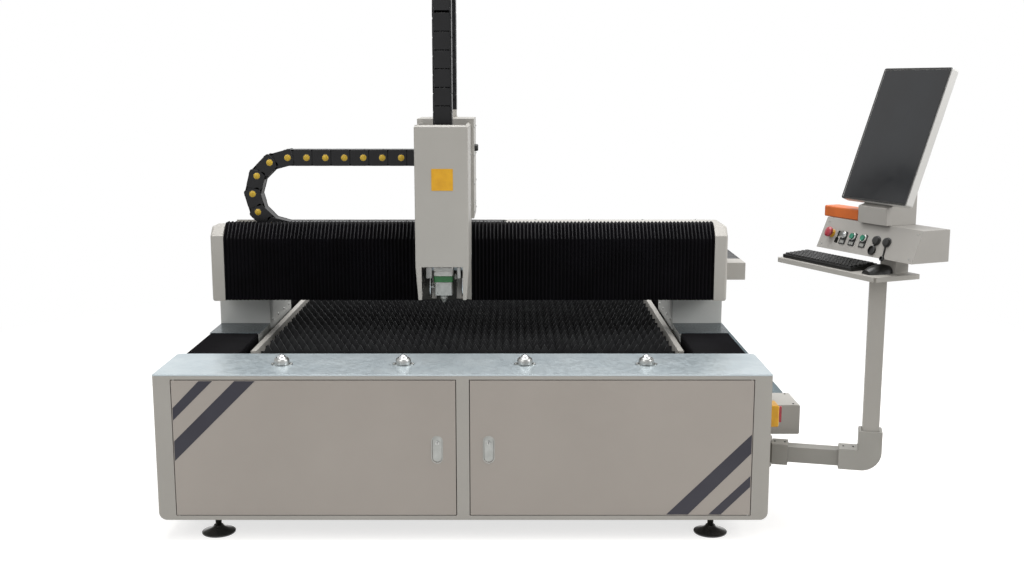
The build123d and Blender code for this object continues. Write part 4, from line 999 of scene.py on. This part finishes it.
@dataclass
class Chains:
    """The three drag chains of the machine."""

    x_y: float = 958.0
    x_low: float = 1075.8
    x_radius: float = 158.0
    x_bend: float = -795.0
    x_fixed: float = 144.0
    x_moving: float = -217.0
    y_x: float = 1194.5
    y_low: float = 435.8
    y_radius: float = 223.0
    y_bend: float = 2683.0
    y_fixed: float = 2600.0
    y_moving: float = 1133.0
    z_x: float = -97.25
    z_front: float = 595.0
    z_radius: float = 200.0
    z_bend: float = 1990.0
    z_moving: float = 1400.0
    z_fixed: float = 1571.0

    def build(self) -> None:
        """Build all three chains and let them follow their joints."""
        self.cross()
        self.long()
        self.upright()

    def cross(self) -> None:
        """Build the chain of the cross axis, with yellow pins on its front."""
        chain = Chain(pins=True)
        high = self.x_low + 2 * self.x_radius
        upper = Piece("x_chain_upper_dressed")
        chain.run(upper, self.x_moving, self.x_bend, Matrix.Translation((0, self.x_y, high)))
        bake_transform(upper.done("x_chain_upper"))
        bend = Piece("x_chain_bend_dressed", "x_chain_bend_body")
        chain.bend(bend, self.x_radius, Matrix.Translation((self.x_bend, self.x_y, self.x_low + self.x_radius)))
        bend.done("x_chain_bend")
        lower = Piece("x_chain_lower_dressed")
        chain.run(lower, self.x_bend, self.x_fixed, Matrix.Translation((0, self.x_y, self.x_low)))
        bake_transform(lower.done("x_chain_lower"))

    def long(self) -> None:
        """Build the chain of the long axis, in its tray on the right."""
        chain = Chain()
        turned = Matrix.Rotation(-math.pi / 2, 4, "Z")
        upper = Piece("y_chain_upper_dressed", "gantry")
        high = self.y_low + 2 * self.y_radius
        chain.run(upper, -self.y_moving, -self.y_bend, Matrix.Translation((self.y_x, 0, high)) @ turned)
        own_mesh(upper.done("y_chain_upper"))
        bend = Piece("y_chain_bend_dressed", "y_chain_bend_body")
        place = Matrix.Translation((self.y_x, self.y_bend, self.y_low + self.y_radius)) @ turned
        chain.bend(bend, self.y_radius, place)
        bend.done("y_chain_bend")
        lower = Piece("y_chain_lower_dressed")
        chain.run(lower, -self.y_bend, -self.y_fixed, Matrix.Translation((self.y_x, 0, self.y_low)) @ turned)
        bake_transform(lower.done("y_chain_lower"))

    def upright(self) -> None:
        """Build the chain that stands on the head."""
        chain = Chain(pitch=74.0)
        turned = Matrix.Rotation(-math.pi / 2, 4, "Z") @ Matrix.Rotation(math.pi / 2, 4, "Y")
        front = Piece("z_chain_front_dressed")
        place = Matrix.Translation((self.z_x, self.z_front, 0)) @ turned
        chain.run(front, -self.z_moving, -self.z_bend, place)
        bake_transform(front.done("z_chain_front"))
        rear = Piece("z_chain_rear_dressed", "carriage_body")
        middle = self.z_front + self.z_radius
        chain.bend(rear, self.z_radius, Matrix.Translation((self.z_x, middle, self.z_bend)) @ turned)
        back = Matrix.Translation((self.z_x, middle + self.z_radius, 0)) @ turned
        chain.run(rear, -self.z_bend, -self.z_fixed, back)
        rear.done("z_chain_rear")


@dataclass
class Gantry:
    """The beam on its two feet."""

    def build(self) -> None:
        """Dress the gantry's parts and add their screws."""
        for side, sign in (("left", -1), ("right", 1)):
            piece = Piece(f"gantry_foot_{side}_dressed", "gantry").wear(f"gantry_foot_{side}", FOOT_PAINT_LIT, 1.6)
            screws(piece, (sign * 902.5, 1015, 657), (-sign, 0, 0), 4, (0, 130, 0), 5.5)
            piece.recolour(POWDER, (1124, 980, 830), (1240, 1150, 925))
            piece.done(f"gantry_foot_{side}")
        dress("gantry", ROLLED, "saddle_covers", width=0.6)
        dress("gantry", POWDER, "beam_end_caps", width=1.2)
        piece = Piece("beam_dressed", "gantry").wear("beam", POWDER, 0.8)
        screws(piece, (290, 915, 1108), (0, 0, 1), 4, (240, 0, 0), 5.0)
        screws(piece, (290, 1033, 1108), (0, 0, 1), 4, (240, 0, 0), 5.0)
        piece.done("beam")
        keep(ZINC, "x_guides")
        keep(MOULDED, "y_gearmotors")


@dataclass
class Carriage:
    """The carriage with the head's cover, the vertical axis and the cutting head."""

    middle: float = -97.25
    left: float = -204.5
    right: float = 10.0
    flank: float = 12.5
    head_y: float = 560.0

    def build(self) -> None:
        """Build every part of the carriage."""
        piece = Piece("carriage_dressed", "carriage_body").wear("carriage", POWDER, 1.2)
        piece.recolour(BLACK_OXIDE, (-300, 760, 780), (100, 800, 1140))
        for sign, x in ((-1, self.left - self.flank), (1, self.right + self.flank)):
            for y in (800, 1025):
                screws(piece, (x, y, 1170), (sign, 0, 0), 4, (0, 0, 120), 5.0)
            screws(piece, (x, 830, 1200), (sign, 0, 0), 3, (0, 80, 0), 4.0)
        plug = [(0, 16), (12, 16), (15, 12), (15, 0), (0, 0)]
        piece.put(Form().lathe(plug, (self.right + self.flank, 850, 1440), Axis.X, 24).mesh(), MOULDED)
        piece.done("carriage")
        keep(MOULDED, "carriage_drives")
        self.cover()
        self.vertical()
        self.fittings()

    def cover(self) -> None:
        """Dress the head's cover, with a plain yellow plate on its front."""
        piece = Piece("head_cover_dressed", "carriage_body").wear("head_cover", POWDER, 1.5)
        plate = rounded([(-137, 1290), (-51, 1290), (-51, 1377), (-137, 1377)], 3, 3)
        piece.put(Form().prism(plate, Axis.Y, (439.2, 440.2)).mesh(), ISOLATOR_YELLOW)
        for sign, x in ((-1, self.left), (1, self.right)):
            screws(piece, (x, 700, 1000), (sign, 0, 0), 3, (0, 0, 210), 4.0)
            rim = [(x, 1540.5), (x - sign * 9, 1549), (x - sign * 12, 1549), (x - sign * 12, 1540.5)]
            piece.put(Form().prism(rim, Axis.Y, (446, 756)).soften(0.6).mesh(), POWDER)
        rim = [(440.5, 1540.5), (449, 1549), (452, 1549), (452, 1540.5)]
        piece.put(Form().prism(rim, Axis.X, (self.left + 3, self.right - 3)).soften(0.6).mesh(), POWDER)
        piece.done("head_cover")

    def vertical(self) -> None:
        """Dress the vertical slide and the parts of the cutting head."""
        Piece("z_slide_dressed", "head").wear("z_slide", BLASTED, 0.8).recolour(
            WHITE, (-200, 480, 950), (100, 640, 970)
        ).done("z_slide")
        dress("head", WHITE, "head_block", width=1.5)
        dress("head", RING_GREEN, "head_ring", width=1.0)
        piece = Piece("head_body_dressed", "head").wear("head_body", BLASTED, 1.5)
        screws(piece, (self.middle - 24, self.head_y - 36, 862), (0, -1, 0), 2, (48, 0, 0), 3.0)
        screws(piece, (self.middle - 24, self.head_y - 36, 896), (0, -1, 0), 2, (48, 0, 0), 3.0)
        piece.done("head_body")
        piece = Piece("nozzle_dressed", "head")
        cone = [(1.2, 852), (14, 852), (14, 846), (15, 844), (15, 836), (13, 834), (8, 821), (6.5, 819), (1.2, 819)]
        piece.put(Form().lathe([*cone, cone[0]], (self.middle, self.head_y, 0), steps=40).mesh(), BLASTED)
        piece.done("nozzle")

    def fittings(self) -> None:
        """Build the gas fittings and guide rods beside the cutting head."""
        piece = Piece("gas_fittings", "head")
        x, y = self.middle, self.head_y + 70
        for sign, near, far in ((-1, 54, 77), (1, 53, 66)):
            a, b = sorted((x + sign * near, x + sign * far))
            piece.put(Form().block((a, b), (y - 16, y + 16), (909, 955)).soften(2.0).mesh(), ZINC)
        for offset in (-61.5, 73.5):
            rod = [(0, 831), (3.4, 831), (4.5, 833), (4.5, 909), (0, 909)]
            piece.put(Form().lathe(rod, (x + offset, y, 0), steps=20).mesh(), CHROME)
        knob = [(0, -14), (5, -14), (7, -12), (7, 4), (0, 4)]
        piece.put(Form().lathe(knob, (x - 50, y, 873), Axis.Y, 20).mesh(), WHITE)
        piece.put(Form().block((x + 42, x + 49), (y - 20, y - 8), (906, 928)).soften(1.0).mesh(), WHITE)
        arm = Form().block((x - 78, x + 78), (y + 4, y + 14), (940, 955)).soften(1.0)
        piece.put(arm.mesh(), GALVANISED)
        piece.done()


@dataclass
class Pendant:
    """The swivelling arm with the operator's console."""

    pivot: tuple[float, float] = (1172.0, 160.8)
    yaw: float = -14.0
    reach: float = 381.7
    console_yaw: float = -65.7
    face_front: float = -85.0
    face_low: float = 1090.0
    face_height: float = 114.0
    face_slope: float = 49.0
    row: float = 62.0
    screen_tilt: float = 20.4

    def __post_init__(self) -> None:
        turn = math.radians(self.yaw)
        self.end = (self.pivot[0] + self.reach * math.cos(turn), self.pivot[1] + self.reach * math.sin(turn))
        self.arm = Matrix.Translation((*self.pivot, 0)) @ Matrix.Rotation(turn, 4, "Z")
        self.desk = Matrix.Translation((*self.end, 0)) @ Matrix.Rotation(math.radians(self.console_yaw), 4, "Z")
        self.tilted = self.desk @ Matrix.Rotation(math.radians(-self.screen_tilt), 4, "X")
        length = math.hypot(self.face_slope, self.face_height)
        out = Vector((0, -self.face_height / length, self.face_slope / length))
        up = Vector((0, self.face_slope / length, self.face_height / length))
        axes = Matrix((Vector((1, 0, 0)), up, out)).transposed().to_4x4()
        self.panel = self.desk @ Matrix.Translation((0, self.face_front, self.face_low)) @ axes

    def at(self, x: float, rise: float | None = None) -> Matrix:
        """Give a place on the sloped face: +Z outwards, +Y up the face."""
        return self.panel @ Matrix.Translation((x, self.row if rise is None else rise, 0))

    def build(self) -> None:
        """Build every part of the pendant."""
        piece = Piece("pendant_arm_dressed", "arm_body").wear("pendant_arm", ARM_PAINT_SHADED, 1.5)
        head = screw_head(4.0)
        piece.put(REPEAT.row(head, MOULDED, 2, step=(38, 0, 0), start=(30, 0, 345)), MOULDED, self.arm)
        piece.done("pendant_arm")
        piece = Piece("arm_elbow_dressed", "arm_body").wear("arm_elbow", TUBE_PAINT, 2.0)
        head = screw_head(4.0)
        piece.put(REPEAT.row(head, MOULDED, 2, step=(36, 0, 0), start=(286, 0, 345)), MOULDED, self.arm)
        piece.done("arm_elbow")
        dress("arm_body", POWDER, "post", width=2.0)
        dress("console", POWDER, "console_tray", width=1.0)
        dress("console", CONSOLE_POWDER, "console_box", "monitor_stand", width=1.0)
        self.screen_frame()
        dress("console", GLASS, "screen", width=0.4)
        dress("console", ORANGE, "hand_remote", width=3.0)
        self.controls()
        self.desk_things()

    def screen_frame(self) -> None:
        """Dress the monitor: a grey housing with a black face around its screen."""
        piece = Piece("monitor_dressed", "console").wear("monitor", MONITOR_PAINT, 2.0)
        way = self.tilted.to_3x3() @ Vector((0, -1, 0))
        piece.finishes.append(MOULDED)
        for face in piece.shape.faces:
            if face.normal.dot(way) > 0.94:
                face.material_index = 1
        piece.done("monitor")

    def controls(self) -> None:
        """Build the controls on the sloped face."""
        fixed = Piece("console_fittings_dressed", "console")
        for x in (-75, -17):
            ring = [(11.3, 0), (11.3, 8), (13, 8.6), (15, 7), (15.5, 0)]
            fixed.put(Form().lathe([*ring, ring[0]], (0, 0, 0), steps=32).mesh(), ZINC, self.at(x))
            cap = [(0, 14), (9.5, 14), (10.9, 12), (10.9, -3), (0, -3)]
            name = "start" if x == -75 else "stop"
            lens = Piece(f"{name}_button_dressed", f"{name}_body")
            lens.put(Form().lathe(cap, (0, 0, 0), steps=32).mesh(), BUTTON_GREEN, self.at(x))
            lens.done(f"{name}_button")
        for x in (-127, -75, -17):
            self.card(fixed, x)
        ring = [(8.3, 0), (8.3, 9), (12, 9.5), (15, 7), (16, 0)]
        fixed.put(Form().lathe([*ring, ring[0]], (0, 0, 0), steps=32).mesh(), ISOLATOR_YELLOW, self.at(-197))
        ring = [(8.3, 0), (8.3, 8), (12, 8.5), (14, 7), (14.5, 0)]
        fixed.put(Form().lathe([*ring, ring[0]], (0, 0, 0), steps=32).mesh(), ZINC, self.at(-127))
        for x in (52, 106):
            cap = [(0, 14), (6, 14.4), (13, 13), (15.5, 10), (15.5, 4), (18.5, 3), (18.5, 0), (0, 0)]
            fixed.put(Form().lathe(cap, (0, 0, 0), steps=36).mesh(), MOULDED, self.at(x))
        self.straps(fixed)
        head = screw_head(3.0)
        for x in (-236, 236):
            fixed.put(REPEAT.row(head.copy(), ZINC, 2, step=(0, 92, 0)), ZINC, self.at(x, 16))
        fixed.done("console_fittings")
        stop = Piece("e_stop_button_dressed", "e_stop_body")
        mushroom = [(0, 28), (8, 27.6), (15, 26), (19, 23), (20, 19.5), (19, 16), (10, 15), (8, 14), (8, -4), (0, -4)]
        stop.put(Form().lathe(mushroom, (0, 0, 0), steps=40).mesh(), SIGNAL_RED, self.at(-197))
        stop.done("e_stop_button")
        self.key()

    def card(self, piece: Piece, x: float) -> None:
        """Add a small frame with a blank card below a control."""
        holder = rounded([(-16, -35), (16, -35), (16, 15), (-16, 15)], 3, 2)
        hole = [(9.5 * math.cos(a), 9.5 * math.sin(a)) for a in (math.tau * i / 16 for i in range(16))]
        piece.put(Form().prism(holder, Axis.Z, (0.2, 2.6), [hole]).mesh(), MOULDED, self.at(x))
        piece.put(Form().block((-11, 11), (-31, -20), (2.2, 3.1)).mesh(), PALE, self.at(x))

    def straps(self, piece: Piece) -> None:
        """Add the two dust caps that hang on straps below the sockets."""
        for x, drop, radius in ((47, 38, 17), (112, 62, 9)):
            cap = [(0, 3), (radius - 3, 3), (radius - 2, 9), (radius, 8), (radius, 1), (0, 1)]
            piece.put(Form().lathe(cap, (x, 62 - drop, 0), steps=28).mesh(), MOULDED, self.panel)
        band = rounded([(103, 46), (108, 46), (115, 6), (110, 4)], 2, 2)
        piece.put(Form().prism(band, Axis.Z, (1, 4)).mesh(), MOULDED, self.panel)
        band = rounded([(46, 46), (52, 46), (52, 38), (46, 38)], 2, 2)
        piece.put(Form().prism(band, Axis.Z, (1, 4)).mesh(), MOULDED, self.panel)

    def key(self) -> None:
        """Build the key with a second one hanging from it."""
        piece = Piece("key_dressed", "key_body")
        core = [(0, 9), (6, 9), (8, 8), (8, -3), (0, -3)]
        piece.put(Form().lathe(core, (0, 0, 0), steps=24).mesh(), CHROME, self.at(-127))
        bow = rounded([(-10, 14), (10, 14), (10, 34), (-10, 34)], 7, 4)
        hole = [(3 * math.cos(a), 28 + 3 * math.sin(a)) for a in (math.tau * i / 12 for i in range(12))]
        grip = Form().prism(bow, Axis.X, (-1.5, 1.5), [hole]).soften(0.4)
        piece.put(grip.mesh(), ZINC, self.at(-127))
        piece.put(Form().block((-1.2, 1.2), (-4, 4), (8, 15)).mesh(), ZINC, self.at(-127))
        loop = [(7 * math.cos(a), 33 + 7 * math.sin(a)) for a in (math.tau * i / 20 for i in range(20))]
        bore = [(6 * math.cos(a), 33 + 6 * math.sin(a)) for a in (math.tau * i / 20 for i in range(20))]
        piece.put(Form().prism(loop, Axis.X, (2.0, 3.2), [bore]).mesh(), ZINC, self.at(-127))
        blade = rounded([(-7, -26), (7, -26), (7, -8), (2.5, -4), (2.5, 22), (-2.5, 22), (-2.5, -4), (-7, -8)], 1.2, 2)
        turned = Matrix.Translation((3.8, -14, 32)) @ Matrix.Rotation(math.radians(90), 4, "Y")
        piece.put(Form().prism(blade, Axis.Z, (-0.8, 0.8)).mesh(), BLACK_OXIDE, self.at(-127) @ turned)
        piece.done("key")

    def desk_things(self) -> None:
        """Build the keyboard's keys and the mouse."""
        piece = Piece("keyboard_dressed", "console").wear("keyboard", MOULDED, 2.0)
        cap = Form()
        low = [(-8, -7.6, 0), (8, -7.6, 0), (8, 7.6, 0), (-8, 7.6, 0)]
        high = [(-6.4, -5.4, 5), (6.4, -5.4, 5), (6.4, 6.6, 5), (-6.4, 6.6, 5)]
        base, top = ([cap.shape.verts.new(p) for p in loop] for loop in (low, high))
        cap.shape.faces.new(base)
        cap.shape.faces.new(top)
        for i in range(4):
            j = (i + 1) % 4
            cap.shape.faces.new((base[i], base[j], top[j], top[i]))
        row = REPEAT.row(cap.mesh(), MOULDED, 21, step=(18.4, 0, 0))
        keys = REPEAT.row(row, MOULDED, 6, step=(0, 18.6, 1.15))
        keys.transform(self.desk @ Matrix.Translation((-374, -128, 1049.5)))
        piece.put(keys, MOULDED)
        piece.done("keyboard")
        mouse = Piece("mouse_dressed", "console")
        loops = []
        for k in range(9):
            share = k / 8
            half = 31 * math.sin(math.pi * (0.16 + 0.68 * share)) ** 0.5
            rise = 34 * math.sin(math.pi * (0.12 + 0.62 * share)) ** 0.8
            y = -52 + 104 * share
            loops.append(
                [(half * math.cos(a), y, rise * math.sin(a)) for a in (math.pi * i / 12 for i in range(13))]
            )
        shell = Form().loft(loops)
        bmesh.ops.holes_fill(shell.shape, edges=[e for e in shell.shape.edges if e.is_boundary], sides=0)
        mouse.put(shell.mesh(), MOULDED, self.desk @ Matrix.Translation((88, -85, 1034)))
        mouse.done("mouse")


@dataclass
class Studio:
    """The camera, the lamps and the pale floor."""

    eye: tuple[float, float, float] = (183.55, -4296.6, 1706.0)
    tilt: float = 9.68
    focal_px: float = 1192.0
    width_px: float = 1024.0
    sensor: float = 36.0

    def build(self) -> None:
        """Set up the view and the light."""
        data = bpy.data.cameras.new("camera")
        data.sensor_width = self.sensor
        data.lens = self.focal_px / self.width_px * self.sensor
        data.clip_end = 100
        camera = bpy.data.objects.new("camera", data)
        camera.location = frame_point(*self.eye)
        camera.rotation_euler = (math.radians(90 - self.tilt), 0, 0)
        bpy.context.scene.collection.objects.link(camera)
        bpy.context.scene.camera = camera
        self.lamp("left_box", (-3200, -3600, 3800), (0, 800, 500), 3.2, 88)
        self.lamp("right_box", (5200, -1200, 3600), (400, 900, 700), 3.0, 190)
        self.lamp("top_box", (0, 1200, 5600), (0, 1200, 0), 4.5, 290)
        self.world()
        self.floor()
        bpy.context.scene.view_settings.view_transform = "Standard"

    def lamp(self, name: str, at: tuple, to: tuple, size: float, power: float) -> None:
        """Hang a soft square lamp that points at a place."""
        data = bpy.data.lights.new(name, "AREA")
        data.size, data.energy = size, power
        lamp = bpy.data.objects.new(name, data)
        lamp.location = frame_point(*at)
        way = Vector(frame_point(*to)) - lamp.location
        lamp.rotation_euler = way.to_track_quat("-Z", "Y").to_euler()
        bpy.context.scene.collection.objects.link(lamp)

    def world(self) -> None:
        """Light all round evenly, and show white to the camera and in reflections."""
        world = bpy.data.worlds.new("world")
        bpy.context.scene.world = world
        world.use_nodes = True
        tree = world.node_tree
        tree.nodes.clear()
        path = add(tree, "ShaderNodeLightPath").outputs
        seen = add(tree, "ShaderNodeMath", {0: path["Is Camera Ray"], 1: path["Is Transmission Ray"]}, operation="MAXIMUM")
        glossy = add(tree, "ShaderNodeMath", {0: path["Is Glossy Ray"], 1: 0.8}, operation="MULTIPLY")
        any_of = add(tree, "ShaderNodeMath", {0: seen.outputs[0], 1: glossy.outputs[0]}, operation="MAXIMUM")
        strength = add(tree, "ShaderNodeMapRange", {"Value": any_of.outputs[0], "To Min": 0.5, "To Max": 1.0})
        light = add(
            tree, "ShaderNodeBackground", {"Color": (1, 1, 1, 1), "Strength": strength.outputs["Result"]}
        )
        add(tree, "ShaderNodeOutputWorld", {"Surface": light.outputs["Background"]})

    def floor(self) -> None:
        """Lay a pale floor that fades to white around the machine."""
        material = bpy.data.materials.new("studio_floor")
        material.use_nodes = True
        tree = material.node_tree
        tree.nodes.clear()
        place = add(tree, "ShaderNodeTexCoord").outputs["Object"]
        centre = frame_point(200, 1800, 0)
        away = add(tree, "ShaderNodeVectorMath", {0: place, 1: centre}, operation="DISTANCE").outputs["Value"]
        fade = add(tree, "ShaderNodeMapRange", {"Value": away, "From Min": 2.2, "From Max": 4.2})
        rays = add(tree, "ShaderNodeLightPath").outputs
        seen = add(tree, "ShaderNodeMath", {0: rays["Is Camera Ray"], 1: rays["Is Glossy Ray"]}, operation="MAXIMUM")
        share = add(tree, "ShaderNodeMath", {0: fade.outputs[0], 1: seen.outputs[0]}, operation="MULTIPLY")
        lift = add(tree, "ShaderNodeMath", {0: seen.outputs[0], 1: 0.7}, operation="MULTIPLY")
        pale = add(tree, "ShaderNodeBsdfDiffuse", {"Color": linear("#b4b2af")})
        glow = add(tree, "ShaderNodeEmission", {"Color": (1, 1, 1, 1), "Strength": lift.outputs[0]})
        near = add(tree, "ShaderNodeAddShader", {0: pale.outputs[0], 1: glow.outputs[0]})
        white = add(tree, "ShaderNodeEmission", {"Color": (1, 1, 1, 1), "Strength": 1.0})
        both = add(tree, "ShaderNodeMixShader", {0: share.outputs[0], 1: near.outputs[0], 2: white.outputs[0]})
        add(tree, "ShaderNodeOutputMaterial", {"Surface": both.outputs[0]})
        form = Form().block((-30000, 30000), (-30000, 30000), (-20, -0.5)).mesh()
        form.transform(TO_FRAME)
        form.materials.append(material)
        floor = bpy.data.objects.new("studio_floor", form)
        bpy.context.scene.collection.objects.link(floor)


def write_size() -> None:
    """Bring the view layer up to date."""
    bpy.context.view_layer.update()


def main() -> None:
    """Build the whole machine and its studio."""
    logging.basicConfig(level=logging.INFO, format="%(message)s")
    write_size()
    for part in (Studio(), Bed(), Bellows(), Chains(), Gantry(), Carriage(), Pendant()):
        part.build()
        log.info("built the %s", type(part).__name__.lower())
    write_size()


if __name__ == "__main__":
    main()
